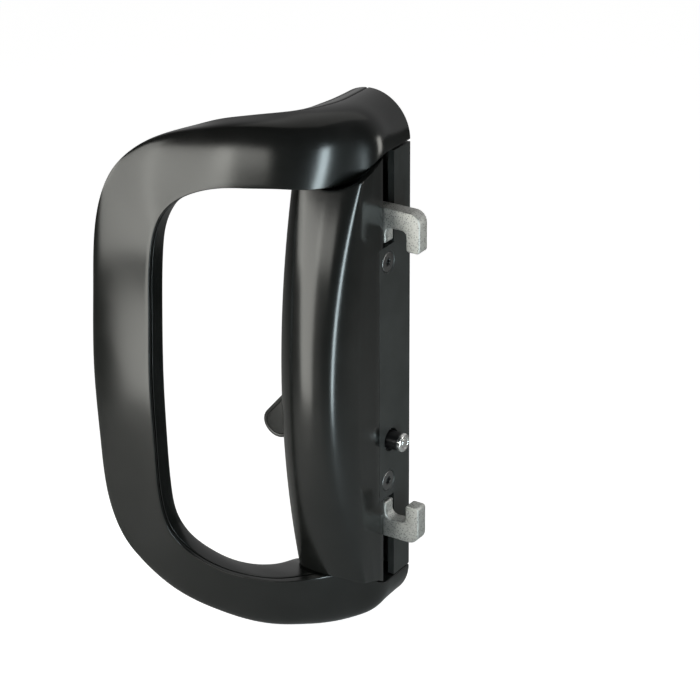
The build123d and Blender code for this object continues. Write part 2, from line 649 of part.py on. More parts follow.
def plunger_spring():
    """Compression spring round the stem, from the barrel's floor to the sleeve."""
    wire = 0.35
    start, end = BORE_FLOOR_X + wire + 0.05, SLEEVE_X[0] - wire - 0.05
    y, z = PLUNGER_YZ
    coil = Edge.make_helix((end - start) / 4, end - start, 2.9, center=(start, y, z), normal=(1, 0, 0))
    section = Plane(origin=coil @ 0, z_dir=coil % 0) * RegularPolygon(wire, 4)
    return sweep(section, path=coil)


def screw_groups():
    """Screws that show on the edge and those driven from the back."""
    y, z = EDGE_SCREW_YZ
    edge = [countersunk_screw((HALF_W, y, side * z), (-1, 0, 0), EDGE_SCREW_R, EDGE_HEAD_R, 12, six_lobed(1.9))
            for side in (1, -1)]
    caps = [countersunk_screw((x, 0, side * HANDLE_SCREW_Z), (0, -1, 0), 2.0, 3.6, 13, hexagonal(1.4))
            for side in (1, -1) for x in (HANDLE_SCREW_X, -HANDLE_SCREW_X)]
    boss_x, boss_z = COVER_BOSS
    covers = [countersunk_screw((boss_x, 0, side * boss_z), (0, -1, 0), 1.5, 2.8, 13, hexagonal(1.1))
              for side in (1, -1)]
    shells = []
    for x, z in shell_screw_axes():
        head = rod(3.0, (x, -64.3, z), (x, -66.5, z))
        shank = rod(1.6, (x, -66.5, z), (x, -72.5, z))
        slot = block((x - 4, x + 4), (-60, -65.3), (z - 0.45, z + 0.45))
        shells.append(head + shank - slot)
    return {"edge_screws": edge, "handle_screws": caps, "cover_screws": covers, "shell_screws": shells}


def main():
    os.makedirs("parts", exist_ok=True)
    front, rear = pull_shells()
    nodes = {
        "handle_front_shell": front,
        "handle_back_shell": rear,
        "base_frame": base_frame(),
        "lock_cover": lock_cover(pull_blank()),
        "mechanism_chassis": mechanism_chassis(),
        "guide_plate": guide_plate(),
        "guide_screws": Compound(guide_screws()),
        "front_bush": front_bush(),
        "pinion": pinion(),
        "spindle": spindle(),
        "snib_lever": snib_lever(),
        "lever_screw": lever_screw(),
        "snap_spring": snap_spring(),
        "upper_hook": upper_hook(),
        "upper_slide": upper_slide(),
        "upper_rivets": Compound(upper_rivets()),
        "lower_hook": mirror(upper_hook(), about=Plane.XY),
        "lower_slide": lower_slide(),
        "lower_rivets": mirror(Compound(upper_rivets()), about=Plane.XY),
        "plunger_pin": plunger_pin(),
        "plunger_sleeve": plunger_sleeve(),
        "plunger_clip": plunger_clip(),
        "plunger_spring": plunger_spring(),
    }
    for name, group in screw_groups().items():
        nodes[name] = Compound(group)
    for name, shape in nodes.items():
        save(shape, name)


main()
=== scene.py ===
"""Looks of the sliding door lock: satin black pull and casing, sintered hooks, turned plunger.

Lengths in the classes are millimetres in the lock's own frame: +X to the jamb, the door's face is
Y = 0 with the user on the -Y side, +Z up. Meshes are made in metres by the factor MM.
"""

import logging
import math
from dataclasses import dataclass, field
from enum import Enum

import bmesh
import bpy
import numpy as np
from mathutils import Matrix, Vector


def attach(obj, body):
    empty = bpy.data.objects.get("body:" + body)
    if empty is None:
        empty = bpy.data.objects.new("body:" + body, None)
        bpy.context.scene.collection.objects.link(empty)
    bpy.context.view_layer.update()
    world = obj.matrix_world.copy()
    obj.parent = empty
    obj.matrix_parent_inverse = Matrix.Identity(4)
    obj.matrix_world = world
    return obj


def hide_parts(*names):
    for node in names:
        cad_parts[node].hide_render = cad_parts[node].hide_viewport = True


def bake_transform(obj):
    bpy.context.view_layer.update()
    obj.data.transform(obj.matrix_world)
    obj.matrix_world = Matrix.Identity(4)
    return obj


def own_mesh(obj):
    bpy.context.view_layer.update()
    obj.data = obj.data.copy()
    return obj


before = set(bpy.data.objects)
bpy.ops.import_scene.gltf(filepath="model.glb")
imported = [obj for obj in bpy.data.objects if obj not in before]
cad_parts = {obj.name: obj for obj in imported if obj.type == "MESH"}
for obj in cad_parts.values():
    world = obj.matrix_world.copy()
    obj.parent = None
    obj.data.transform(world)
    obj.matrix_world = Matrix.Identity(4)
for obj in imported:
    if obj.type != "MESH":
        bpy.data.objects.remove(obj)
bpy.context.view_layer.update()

log = logging.getLogger("door_lock")
MM = 0.001

Point = tuple[float, float, float]
Colour = tuple[float, float, float]
Rail = list[Point]
Outline = list[tuple[float, float]]
Surface = tuple[np.ndarray, list]       # vertices in millimetres, and faces
Socket = bpy.types.NodeSocket


class Body(Enum):
    """The lock's moving bodies."""

    LOCK = "lock_body"
    LEVER = "lever"
    UPPER = "upper_bolt"
    LOWER = "lower_bolt"
    PLUNGER = "plunger"


class End(Enum):
    """Which of the two hooks or caps a shape belongs to."""

    UPPER = 1
    LOWER = -1


# Node groups that several finishes share


def new_group(name: str, inputs: tuple[str, ...], output: str) -> bpy.types.NodeTree:
    """Makes an empty shader group with a coordinate input, named values and one named output.

    Args:
        name: Name of the group.
        inputs: Name of each value input.
        output: Name of the value output.

    Returns:
        The new node tree with its input and output nodes in place.
    """
    tree = bpy.data.node_groups.new(name, "ShaderNodeTree")
    tree.interface.new_socket("Position", in_out="INPUT", socket_type="NodeSocketVector")
    for label in inputs:
        tree.interface.new_socket(label, in_out="INPUT", socket_type="NodeSocketFloat")
    tree.interface.new_socket(output, in_out="OUTPUT", socket_type="NodeSocketFloat")
    tree.nodes.new("NodeGroupInput").name = "in"
    tree.nodes.new("NodeGroupOutput").name = "out"
    return tree


def noise(tree: bpy.types.NodeTree, scale: Socket, detail: float, position: Socket) -> Socket:
    """Adds a noise texture to a tree.

    Args:
        tree: Node tree to add to.
        scale: Socket with the scale.
        detail: Octaves of finer noise.
        position: Socket with the coordinates.

    Returns:
        The socket with the noise value from 0 to 1.
    """
    node = tree.nodes.new("ShaderNodeTexNoise")
    node.inputs["Detail"].default_value = detail
    tree.links.new(position, node.inputs["Vector"])
    tree.links.new(scale, node.inputs["Scale"])
    return node.outputs["Fac"]


def arithmetic(tree: bpy.types.NodeTree, operation: str, first: Socket,
               second: Socket | float | None = None) -> Socket:
    """Adds one Math node.

    Args:
        tree: Node tree to add to.
        operation: Name of the operation.
        first: Socket with the first operand.
        second: Second operand, a number or a socket, where the operation has one.

    Returns:
        The socket with the result.
    """
    node = tree.nodes.new("ShaderNodeMath")
    node.operation = operation
    tree.links.new(first, node.inputs[0])
    if isinstance(second, float):
        node.inputs[1].default_value = second
    elif second is not None:
        tree.links.new(second, node.inputs[1])
    return node.outputs[0]


def spread(tree: bpy.types.NodeTree, value: Socket, low: Socket, high: Socket) -> Socket:
    """Maps a noise value from its usual span of 0.3 to 0.7 onto low to high.

    Args:
        tree: Node tree to add to.
        value: Socket with the noise value.
        low: Socket with the low end.
        high: Socket with the high end.

    Returns:
        The socket with the mapped value.
    """
    node = tree.nodes.new("ShaderNodeMapRange")
    node.inputs["From Min"].default_value = 0.3
    node.inputs["From Max"].default_value = 0.7
    tree.links.new(value, node.inputs["Value"])
    tree.links.new(low, node.inputs["To Min"])
    tree.links.new(high, node.inputs["To Max"])
    return node.outputs["Result"]


def mottle_group() -> bpy.types.NodeTree:
    """Cloudy value between Low and High, as a sprayed or worn surface varies its gloss.

    Returns:
        The node group.
    """
    tree = new_group("mottle", ("Scale", "Low", "High"), "Value")
    source, result = tree.nodes["in"].outputs, tree.nodes["out"].inputs
    cloud = noise(tree, source["Scale"], detail=3.0, position=source["Position"])
    tree.links.new(spread(tree, cloud, source["Low"], source["High"]), result["Value"])
    return tree


def grain_group() -> bpy.types.NodeTree:
    """Height of a fine grain laid over a coarser wave, as on powder coat, castings and sinter.

    Returns:
        The node group.
    """
    tree = new_group("grain", ("Fine", "Coarse", "Share"), "Height")
    source, result = tree.nodes["in"].outputs, tree.nodes["out"].inputs
    fine = noise(tree, source["Fine"], detail=2.0, position=source["Position"])
    coarse = noise(tree, source["Coarse"], detail=1.0, position=source["Position"])
    weighted = arithmetic(tree, "MULTIPLY", coarse, source["Share"])
    tree.links.new(arithmetic(tree, "ADD", fine, weighted), result["Height"])
    return tree


def speckle_group() -> bpy.types.NodeTree:
    """Mask of small scattered specks: 1 inside a speck, 0 outside, with soft rims.

    Returns:
        The node group.
    """
    tree = new_group("speckle", ("Scale", "Size"), "Mask")
    source, result = tree.nodes["in"].outputs, tree.nodes["out"].inputs
    cells = tree.nodes.new("ShaderNodeTexVoronoi")
    cells.inputs["Randomness"].default_value = 1.0
    tree.links.new(source["Position"], cells.inputs["Vector"])
    tree.links.new(source["Scale"], cells.inputs["Scale"])
    ramp = tree.nodes.new("ShaderNodeMapRange")
    ramp.interpolation_type = "SMOOTHSTEP"
    tree.links.new(cells.outputs["Distance"], ramp.inputs["Value"])
    tree.links.new(source["Size"], ramp.inputs["From Max"])
    ramp.inputs["To Min"].default_value = 1.0
    ramp.inputs["To Max"].default_value = 0.0
    tree.links.new(ramp.outputs["Result"], result["Mask"])
    return tree


def turning_group() -> bpy.types.NodeTree:
    """Height of the fine rings that a cutting tool leaves, round an axis along X through zero.

    Returns:
        The node group.
    """
    tree = new_group("turning", ("Pitch",), "Height")
    source, result = tree.nodes["in"].outputs, tree.nodes["out"].inputs
    split = tree.nodes.new("ShaderNodeSeparateXYZ")
    tree.links.new(source["Position"], split.inputs[0])
    across = arithmetic(tree, "MULTIPLY", split.outputs["Y"], split.outputs["Y"])
    upward = arithmetic(tree, "MULTIPLY", split.outputs["Z"], split.outputs["Z"])
    radius = arithmetic(tree, "SQRT", arithmetic(tree, "ADD", across, upward))
    reach = arithmetic(tree, "ADD", radius, split.outputs["X"])
    phase = arithmetic(tree, "MULTIPLY", reach, source["Pitch"])
    tree.links.new(arithmetic(tree, "SINE", phase), result["Height"])
    return tree


def drawing_group() -> bpy.types.NodeTree:
    """Height of fine straight lines along Z, as rolling or drawing leaves on strip and bar.

    Returns:
        The node group.
    """
    tree = new_group("drawing", ("Scale",), "Height")
    source, result = tree.nodes["in"].outputs, tree.nodes["out"].inputs
    stretch = tree.nodes.new("ShaderNodeMapping")
    scale_along_lines = 0.02
    stretch.inputs["Scale"].default_value = (1.0, 1.0, scale_along_lines)
    tree.links.new(source["Position"], stretch.inputs["Vector"])
    lines = noise(tree, source["Scale"], detail=2.0, position=stretch.outputs["Vector"])
    tree.links.new(lines, result["Height"])
    return tree


GROUPS = {tree.name: tree for tree in (mottle_group(), grain_group(), speckle_group(),
                                       turning_group(), drawing_group())}


# Finishes


def shaded(colour: Colour, share: float) -> Colour:
    """The colour with each of its channels multiplied by the share."""
    return tuple(share * value for value in colour)


@dataclass
class Sheet:
    """One material under construction: its tree, shader and object coordinates.

    Attributes:
        name: Name of the material.
        centre: Point in millimetres that its patterns are centred on.
    """

    name: str
    centre: Point = (0.0, 0.0, 0.0)

    def __post_init__(self) -> None:
        """Makes the material with its shader and a coordinate centred on the given point."""
        self.material = bpy.data.materials.new(self.name)
        self.material.use_nodes = True
        self.tree = self.material.node_tree
        self.shader = self.tree.nodes["Principled BSDF"]
        place = self.tree.nodes.new("ShaderNodeTexCoord")
        shift = self.tree.nodes.new("ShaderNodeMapping")
        shift.inputs["Location"].default_value = [-value * MM for value in self.centre]
        self.tree.links.new(place.outputs["Object"], shift.inputs["Vector"])
        self.position = shift.outputs["Vector"]

    def pattern(self, name: str, **values: float) -> Socket:
        """Places a shared group with its own values and this sheet's coordinates.

        Args:
            name: Name of the group in GROUPS.
            values: Value of each named input.

        Returns:
            The socket with the group's result.
        """
        node = self.tree.nodes.new("ShaderNodeGroup")
        node.node_tree = GROUPS[name]
        self.tree.links.new(self.position, node.inputs["Position"])
        for label, value in values.items():
            node.inputs[label].default_value = value
        return node.outputs[0]

    def set(self, **values: float) -> None:
        """Sets constants on the shader's own sockets; underscores stand for spaces."""
        for label, value in values.items():
            self.shader.inputs[label.replace("_", " ")].default_value = value

    def colour(self, mask: Socket, low: Colour, high: Colour) -> None:
        """Feeds the base colour with a blend of two colours.

        Args:
            mask: Socket that blends them, 0 for low and 1 for high.
            low: Colour where the mask is 0.
            high: Colour where the mask is 1.
        """
        blend = self.tree.nodes.new("ShaderNodeMix")
        blend.data_type = "RGBA"
        blend.inputs["A"].default_value = (*low, 1.0)
        blend.inputs["B"].default_value = (*high, 1.0)
        self.tree.links.new(mask, blend.inputs["Factor"])
        self.tree.links.new(blend.outputs["Result"], self.shader.inputs["Base Color"])

    def clouded(self, scale: float, low: Colour, high: Colour) -> None:
        """Feeds the base colour with clouds of two colours."""
        self.colour(self.pattern("mottle", Scale=scale, Low=0.0, High=1.0), low, high)

    def roughness(self, scale: float, gloss: tuple[float, float]) -> None:
        """Feeds the roughness with clouds between its lowest and highest value."""
        cloud = self.pattern("mottle", Scale=scale, Low=gloss[0], High=gloss[1])
        self.tree.links.new(cloud, self.shader.inputs["Roughness"])

    def bump(self, height: Socket, depth: float) -> None:
        """Feeds the normal from a height.

        Args:
            height: Socket with the height.
            depth: Millimetres between height 0 and 1.
        """
        node = self.tree.nodes.new("ShaderNodeBump")
        node.inputs["Distance"].default_value = depth * MM
        self.tree.links.new(height, node.inputs["Height"])
        self.tree.links.new(node.outputs["Normal"], self.shader.inputs["Normal"])

    def grain(self, scales: tuple[float, float], share: float, depth: float) -> None:
        """Bumps the surface with a fine grain over a coarser wave, of the given depth in millimetres."""
        grain = self.pattern("grain", Fine=scales[0], Coarse=scales[1], Share=share)
        self.bump(grain, depth)


@dataclass(frozen=True)
class SatinPaint:
    """Black coating with a soft sheen: near-black colour, faint dust grain and a slight orange peel.

    Attributes:
        name: Name of the material.
        low: Darkest colour of its clouds.
        high: Lightest colour of its clouds.
        gloss: Lowest and highest roughness.
        peel: Depth of the orange peel in millimetres.
        shine: Strength of its reflections.
    """

    name: str
    low: Colour = (0.0045, 0.005, 0.0045)
    high: Colour = (0.007, 0.0075, 0.007)
    gloss: tuple[float, float] = (0.19, 0.23)
    peel: float = 0.004
    shine: float = 0.5

    def material(self) -> bpy.types.Material:
        """Makes the material.

        Returns:
            The material.
        """
        sheet = Sheet(self.name)
        sheet.clouded(scale=90, low=self.low, high=self.high)
        sheet.roughness(scale=45, gloss=self.gloss)
        sheet.grain(scales=(2600, 420), share=1.4, depth=self.peel)
        sheet.set(Specular_IOR_Level=self.shine)
        return sheet.material


@dataclass(frozen=True)
class SinteredSteel:
    """Pressed and sintered steel: pale satin metal with small dark pores and a grainy skin.

    Attributes:
        name: Name of the material.
        face: Colour of the metal.
        pore: Colour in the pores.
        gloss: Lowest and highest roughness.
        skin: Depth of the grain in millimetres.
    """

    name: str
    face: Colour = (0.54, 0.54, 0.52)
    pore: Colour = (0.1, 0.1, 0.1)
    gloss: tuple[float, float] = (0.5, 0.62)
    skin: float = 0.05

    def material(self) -> bpy.types.Material:
        """Makes the material.

        Returns:
            The material.
        """
        sheet = Sheet(self.name)
        sheet.colour(sheet.pattern("speckle", Scale=1200, Size=0.5), self.face, self.pore)
        sheet.roughness(scale=900, gloss=self.gloss)
        sheet.grain(scales=(2400, 900), share=0.8, depth=self.skin)
        sheet.set(Metallic=1.0)
        return sheet.material


@dataclass(frozen=True)
class TurnedMetal:
    """Bright turned metal with the tool's rings round an axis along X.

    Attributes:
        name: Name of the material.
        centre: A point of the axis, in millimetres.
        colour: Lightest colour of its clouds.
        gloss: Lowest and highest roughness.
        groove: Depth of the rings in millimetres.
        cloud_shade: Darkest colour of its clouds as a share of the lightest.
    """

    name: str
    centre: Point
    colour: Colour = (0.8, 0.8, 0.79)
    gloss: tuple[float, float] = (0.14, 0.22)
    groove: float = 0.006
    cloud_shade: float = 0.86

    def material(self) -> bpy.types.Material:
        """Makes the material.

        Returns:
            The material.
        """
        sheet = Sheet(self.name, self.centre)
        sheet.bump(sheet.pattern("turning", Pitch=26000), self.groove)
        sheet.clouded(scale=500, low=shaded(self.colour, self.cloud_shade), high=self.colour)
        sheet.roughness(scale=700, gloss=self.gloss)
        sheet.set(Metallic=1.0)
        return sheet.material


@dataclass(frozen=True)
class DrawnMetal:
    """Rolled or drawn metal with fine lines along Z and a cloudy plating.

    Attributes:
        name: Name of the material.
        colour: Lightest colour of its clouds.
        gloss: Lowest and highest roughness.
        line: Depth of the lines in millimetres.
        cloud_shade: Darkest colour of its clouds as a share of the lightest.
    """

    name: str
    colour: Colour
    gloss: tuple[float, float] = (0.24, 0.36)
    line: float = 0.02
    cloud_shade: float = 0.8

    def material(self) -> bpy.types.Material:
        """Makes the material.

        Returns:
            The material.
        """
        sheet = Sheet(self.name)
        sheet.bump(sheet.pattern("drawing", Scale=2600), self.line)
        sheet.clouded(scale=160, low=shaded(self.colour, self.cloud_shade), high=self.colour)
        sheet.roughness(scale=220, gloss=self.gloss)
        sheet.set(Metallic=1.0)
        return sheet.material


@dataclass(frozen=True)
class CastMetal:
    """Die casting as it leaves the mould: dull, cloudy and softly pitted.

    Attributes:
        name: Name of the material.
        colour: Lightest colour of its clouds.
        gloss: Lowest and highest roughness.
        pit: Depth of the pits in millimetres.
        cloud_shade: Darkest colour of its clouds as a share of the lightest.
    """

    name: str
    colour: Colour = (0.5, 0.51, 0.52)
    gloss: tuple[float, float] = (0.42, 0.6)
    pit: float = 0.04
    cloud_shade: float = 0.72

    def material(self) -> bpy.types.Material:
        """Makes the material.

        Returns:
            The material.
        """
        sheet = Sheet(self.name)
        sheet.grain(scales=(1400, 260), share=1.0, depth=self.pit)
        sheet.clouded(scale=70, low=shaded(self.colour, self.cloud_shade), high=self.colour)
        sheet.roughness(scale=130, gloss=self.gloss)
        sheet.set(Metallic=1.0)
        return sheet.material


# Meshes from whole arrays


def cubic_through(points: np.ndarray, knots: np.ndarray, at: np.ndarray) -> np.ndarray:
    """Natural cubic spline through points.

    The second derivatives at the knots solve the usual tridiagonal system with both ends at zero;
    between two knots the curve is the cubic that those derivatives and the two points give.

    Args:
        points: Array of shape (n, k).
        knots: Parameter of each point, rising, of shape (n,).
        at: Parameters to evaluate, of shape (m,).

    Returns:
        Array of shape (m, k).
    """
    step = np.diff(knots)
    slope = np.diff(points, axis=0) / step[:, None]
    count = len(knots)
    system = np.eye(count)
    inner = np.arange(1, count - 1)
    system[inner, inner - 1] = step[:-1]
    system[inner, inner] = 2 * (step[:-1] + step[1:])
    system[inner, inner + 1] = step[1:]
    right = np.zeros_like(points)
    right[1:-1] = 6 * np.diff(slope, axis=0)
    second = np.linalg.solve(system, right)
    cell = np.clip(np.searchsorted(knots, at) - 1, 0, count - 2)
    after, before = at - knots[cell], knots[cell + 1] - at
    width = step[cell]
    after, before, width = after[:, None], before[:, None], width[:, None]
    bend = (before**3 * second[cell] + after**3 * second[cell + 1]) / (6 * width)
    low = (points[cell] / width - second[cell] * width / 6) * before
    high = (points[cell + 1] / width - second[cell + 1] * width / 6) * after
    return bend + low + high


def bezier(controls: list[np.ndarray], share: np.ndarray) -> np.ndarray:
    """Bezier curves: the Bernstein sum of the control points.

    Args:
        controls: Three or four arrays of shape (m, k), one curve per row.
        share: Parameters from 0 to 1, of shape (m, s) or (s,).

    Returns:
        Array of shape (m, s, k).
    """
    degree = len(controls) - 1
    share = np.broadcast_to(share, (len(controls[0]), np.shape(share)[-1]))
    total = 0
    for index, control in enumerate(controls):
        weight = math.comb(degree, index) * share**index * (1 - share) ** (degree - index)
        total = total + weight[:, :, None] * control[:, None, :]
    return total


def straight(start: np.ndarray, end: np.ndarray, count: int) -> np.ndarray:
    """Straight rows from start to end, without the last point. Returns shape (m, count, k)."""
    share = np.linspace(0, 1, count, endpoint=False)
    return start[:, None] + (end - start)[:, None] * share[None, :, None]


def toward(start: np.ndarray, end: np.ndarray, length: float) -> np.ndarray:
    """The points at a length from start on the way to end."""
    way = end - start
    return start + way * length / np.linalg.norm(way, axis=1, keepdims=True)


def tube_faces(rings: int, around: int, closed: bool) -> np.ndarray:
    """Quads that join neighbouring rings.

    Args:
        rings: Number of rings.
        around: Points in each ring.
        closed: Whether the last point of a ring joins its first.

    Returns:
        Array of shape (quads, 4) with vertex numbers.
    """
    columns = around if closed else around - 1
    ring, column = np.meshgrid(np.arange(rings - 1), np.arange(columns), indexing="ij")
    ring, column = ring.ravel(), column.ravel()
    following = (column + 1) % around
    return np.stack([ring * around + column, ring * around + following,
                     (ring + 1) * around + following, (ring + 1) * around + column], axis=1)


def closed_tube(rings: int, around: int) -> list:
    """Faces of a closed tube: the quads between its rings, and one face over each end."""
    first = np.arange(around)
    return [*tube_faces(rings, around, True), first[::-1], first + (rings - 1) * around]


def joined(surfaces: list[Surface]) -> Surface:
    """Puts several surfaces into one, with the faces renumbered.

    Args:
        surfaces: Surfaces in the order in which they are joined.

    Returns:
        The vertices and faces of them all.
    """
    starts = np.cumsum([0] + [len(vertices) for vertices, _ in surfaces])
    faces = [np.asarray(face) + start for (_, rows), start in zip(surfaces, starts) for face in rows]
    return np.concatenate([vertices for vertices, _ in surfaces]), faces


def boundary_edges(faces: np.ndarray) -> np.ndarray:
    """Directed edges that only one face uses, each in that face's own direction.

    Args:
        faces: Quads of shape (n, 4).

    Returns:
        Vertex pairs of shape (m, 2).
    """
    directed = np.stack([faces, np.roll(faces, -1, axis=1)], axis=2).reshape(-1, 2)
    _, index, uses = np.unique(np.sort(directed, axis=1), axis=0, return_inverse=True, return_counts=True)
    return directed[uses[index.ravel()] == 1]


def only_used(vertices: np.ndarray, faces: np.ndarray) -> Surface:
    """Leaves out the vertices that no face uses. Returns the shorter list and the renumbered faces."""
    used, index = np.unique(faces, return_inverse=True)
    return vertices[used], list(index.reshape(faces.shape))


def signed_volume(mesh: bpy.types.Mesh) -> float:
    """Volume inside a closed mesh, negative where its faces point inwards.

    Each triangle a, b, c makes a tetrahedron with the origin, of volume a . (b x c) / 6.

    Args:
        mesh: Closed mesh.

    Returns:
        Volume in cubic metres, with its sign.
    """
    mesh.calc_loop_triangles()
    corners = np.array([tri.vertices for tri in mesh.loop_triangles])
    points = np.empty(len(mesh.vertices) * 3)
    mesh.vertices.foreach_get("co", points)
    a, b, c = points.reshape(-1, 3)[corners].transpose(1, 0, 2)
    return float((a * np.cross(b, c)).sum() / 6)


def closed_object(name: str, vertices: np.ndarray, faces: list) -> bpy.types.Object:
    """Puts a closed surface into a mesh object with its faces outwards.

    Args:
        name: Name of the object.
        vertices: Array of shape (n, 3) in millimetres.
        faces: Sequences of vertex numbers.

    Returns:
        The new object, in metres.
    """
    mesh = bpy.data.meshes.new(name)
    rows = [tuple(int(vertex) for vertex in face) for face in faces]
    mesh.from_pydata((vertices * MM).tolist(), [], rows)
    mesh.update()
    if signed_volume(mesh) < 0:
        mesh.flip_normals()
    result = bpy.data.objects.new(name, mesh)
    bpy.context.scene.collection.objects.link(result)
    return result


def make_piece(name: str, vertices: np.ndarray, faces: list, body: Body, slot: str,
               material: bpy.types.Material) -> bpy.types.Object:
    """Makes a smooth-shaded piece that rides on a body.

    Args:
        name: Name of the piece.
        vertices: Array of shape (n, 3) in millimetres.
        faces: Sequences of vertex numbers.
        body: Body that it rides on.
        slot: Name of a material slot; not used.
        material: Finish.

    Returns:
        The new piece.
    """
    piece = closed_object(name, vertices, faces)
    mesh = piece.data
    mesh.polygons.foreach_set("use_smooth", np.ones(len(mesh.polygons), bool))
    mesh.materials.append(material)
    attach(piece, body.value)
    log.info("%s: %d vertices", name, len(mesh.vertices))
    return piece


def bake_modifiers(piece: bpy.types.Object) -> None:
    """Writes the result of a piece's modifiers into its mesh and removes them.

    Args:
        piece: Object that has the modifiers.
    """
    bpy.context.view_layer.update()
    graph = bpy.context.evaluated_depsgraph_get()
    result = bpy.data.meshes.new_from_object(piece.evaluated_get(graph))
    piece.modifiers.clear()
    old = piece.data
    piece.data = result
    bpy.data.meshes.remove(old)


def cut_away(piece: bpy.types.Object, cutter: bpy.types.Object) -> None:
    """Subtracts a closed object from a piece for good, and removes the cutter.

    Args:
        piece: Object that is cut.
        cutter: Closed object that is taken away from it.
    """
    cut = piece.modifiers.new("cut", "BOOLEAN")
    cut.operation = "DIFFERENCE"
    cut.object = cutter
    cut.solver = "EXACT"
    bake_modifiers(piece)
    bpy.data.objects.remove(cutter)


def round_rims(piece: bpy.types.Object, width: float) -> None:
    """Rounds the edges that turn by more than 50 degrees, and writes that into the mesh.

    Args:
        piece: Object whose edges are rounded.
        width: Width of the rounding in millimetres.
    """
    bevel = piece.modifiers.new("rounding", "BEVEL")
    bevel.width = width * MM
    bevel.segments = 3
    bevel.limit_method = "ANGLE"
    bevel.angle_limit = math.radians(50)
    bevel.use_clamp_overlap = True
    bake_modifiers(piece)


def keep_sharp(piece: bpy.types.Object, angle: float = 40.0) -> None:
    """Shades a piece smooth, apart from edges that turn by more than the angle in degrees."""
    piece.data.set_sharp_from_angle(angle=math.radians(angle))


def rounded_outline(corners: list[tuple[float, float, float]], steps: int) -> np.ndarray:
    """Closed outline whose corners are replaced by arcs.

    At each corner the arc of the given radius touches both sides; its middle lies on the bisector
    at the radius divided by the sine of half the corner.

    Args:
        corners: Points with the radius of each, in order round the outline.
        steps: Facets in each arc.

    Returns:
        Array of shape (n, 2).
    """
    table = np.array(corners, float)
    points, radii = table[:, :2], table[:, 2:]
    before = np.roll(points, 1, axis=0) - points
    after = np.roll(points, -1, axis=0) - points
    before /= np.linalg.norm(before, axis=1, keepdims=True)
    after /= np.linalg.norm(after, axis=1, keepdims=True)
    cosine = (before * after).sum(1, keepdims=True)
    half = np.arccos(np.clip(cosine, -1, 1)) / 2
    bisector = before + after
    bisector /= np.linalg.norm(bisector, axis=1, keepdims=True)
    middle = points + bisector * radii / np.sin(half)
    start = points + before * radii / np.tan(half) - middle
    end = points + after * radii / np.tan(half) - middle
    share = np.linspace(0, 1, steps + 1)
    sweep = np.pi - 2 * half
    first = np.sin((1 - share) * sweep) / np.sin(sweep)
    second = np.sin(share * sweep) / np.sin(sweep)
    arcs = middle[:, None] + first[:, :, None] * start[:, None] + second[:, :, None] * end[:, None]
    return arcs.reshape(-1, 2)


def plate_surface(outline: np.ndarray, depth: tuple[float, float], rounding: float,
                  steps: int = 4, dish: tuple[float, float] | None = None) -> Surface:
    """Plate of a closed outline in X and Z between two Y values, with rounded rims.

    Ring k of a rim is the outline moved inwards by r(1 - sin t) and along Y by r(1 - cos t), with t
    going from 0 at the face to a right angle at the side.

    Args:
        outline: Array of shape (n, 2), anticlockwise with X to the right and Z up.
        depth: Back and front Y, the front being the lower value.
        rounding: Radius of the rims.
        steps: Facets across a rim.
        dish: Width of the front face's border and depth of the dish inside it.

    Returns:
        Vertices of shape (m, 3), and faces.
    """
    along = np.roll(outline, -1, axis=0) - np.roll(outline, 1, axis=0)
    along /= np.linalg.norm(along, axis=1, keepdims=True)
    inwards = np.stack([-along[:, 1], along[:, 0]], axis=1)
    turn = np.linspace(0, np.pi / 2, steps + 1)
    inset = rounding * (1 - np.sin(turn))
    advance = rounding * (1 - np.cos(turn))
    back, front = depth
    insets = np.concatenate([inset, inset[::-1]])
    heights = np.concatenate([back - advance, front + advance[::-1]])
    if dish:
        insets = np.concatenate([insets, [dish[0], dish[0] + dish[1]]])
        heights = np.concatenate([heights, [front, front + dish[1]]])
    flat = outline[None] + inwards[None] * insets[:, None, None]
    y = np.broadcast_to(heights[:, None], flat.shape[:2])
    vertices = np.stack([flat[..., 0], y, flat[..., 1]], axis=-1).reshape(-1, 3)
    return vertices, closed_tube(len(insets), len(outline))


def lathe_surface(profile: np.ndarray, centre: tuple[float, float], around: int,
                  lobes: np.ndarray | None = None) -> Surface:
    """Surface of a profile turned about an axis along X.

    A point is (x, cy + r cos t, cz + r sin t); with lobes, r is multiplied by 1 + a cos 6t, where a
    is the profile point's lobe height.

    Args:
        profile: Array of shape (n, 2) with x and radius, ends on the axis.
        centre: Y and Z of the axis.
        around: Facets round the axis.
        lobes: Lobe height of each profile point.

    Returns:
        Vertices and faces.
    """
    lobe_count, least_radius = 6, 1e-4
    turn = np.linspace(0, 2 * np.pi, around, endpoint=False)
    radius = np.maximum(profile[:, 1:2], least_radius)
    if lobes is not None:
        radius = radius * (1 + lobes[:, None] * np.cos(lobe_count * turn)[None])
    radius = np.broadcast_to(radius, (len(profile), around))
    x = np.broadcast_to(profile[:, :1], radius.shape)
    y, z = centre[0] + radius * np.cos(turn), centre[1] + radius * np.sin(turn)
    return np.stack([x, y, z], axis=-1).reshape(-1, 3), closed_tube(len(profile), around)


# Pull


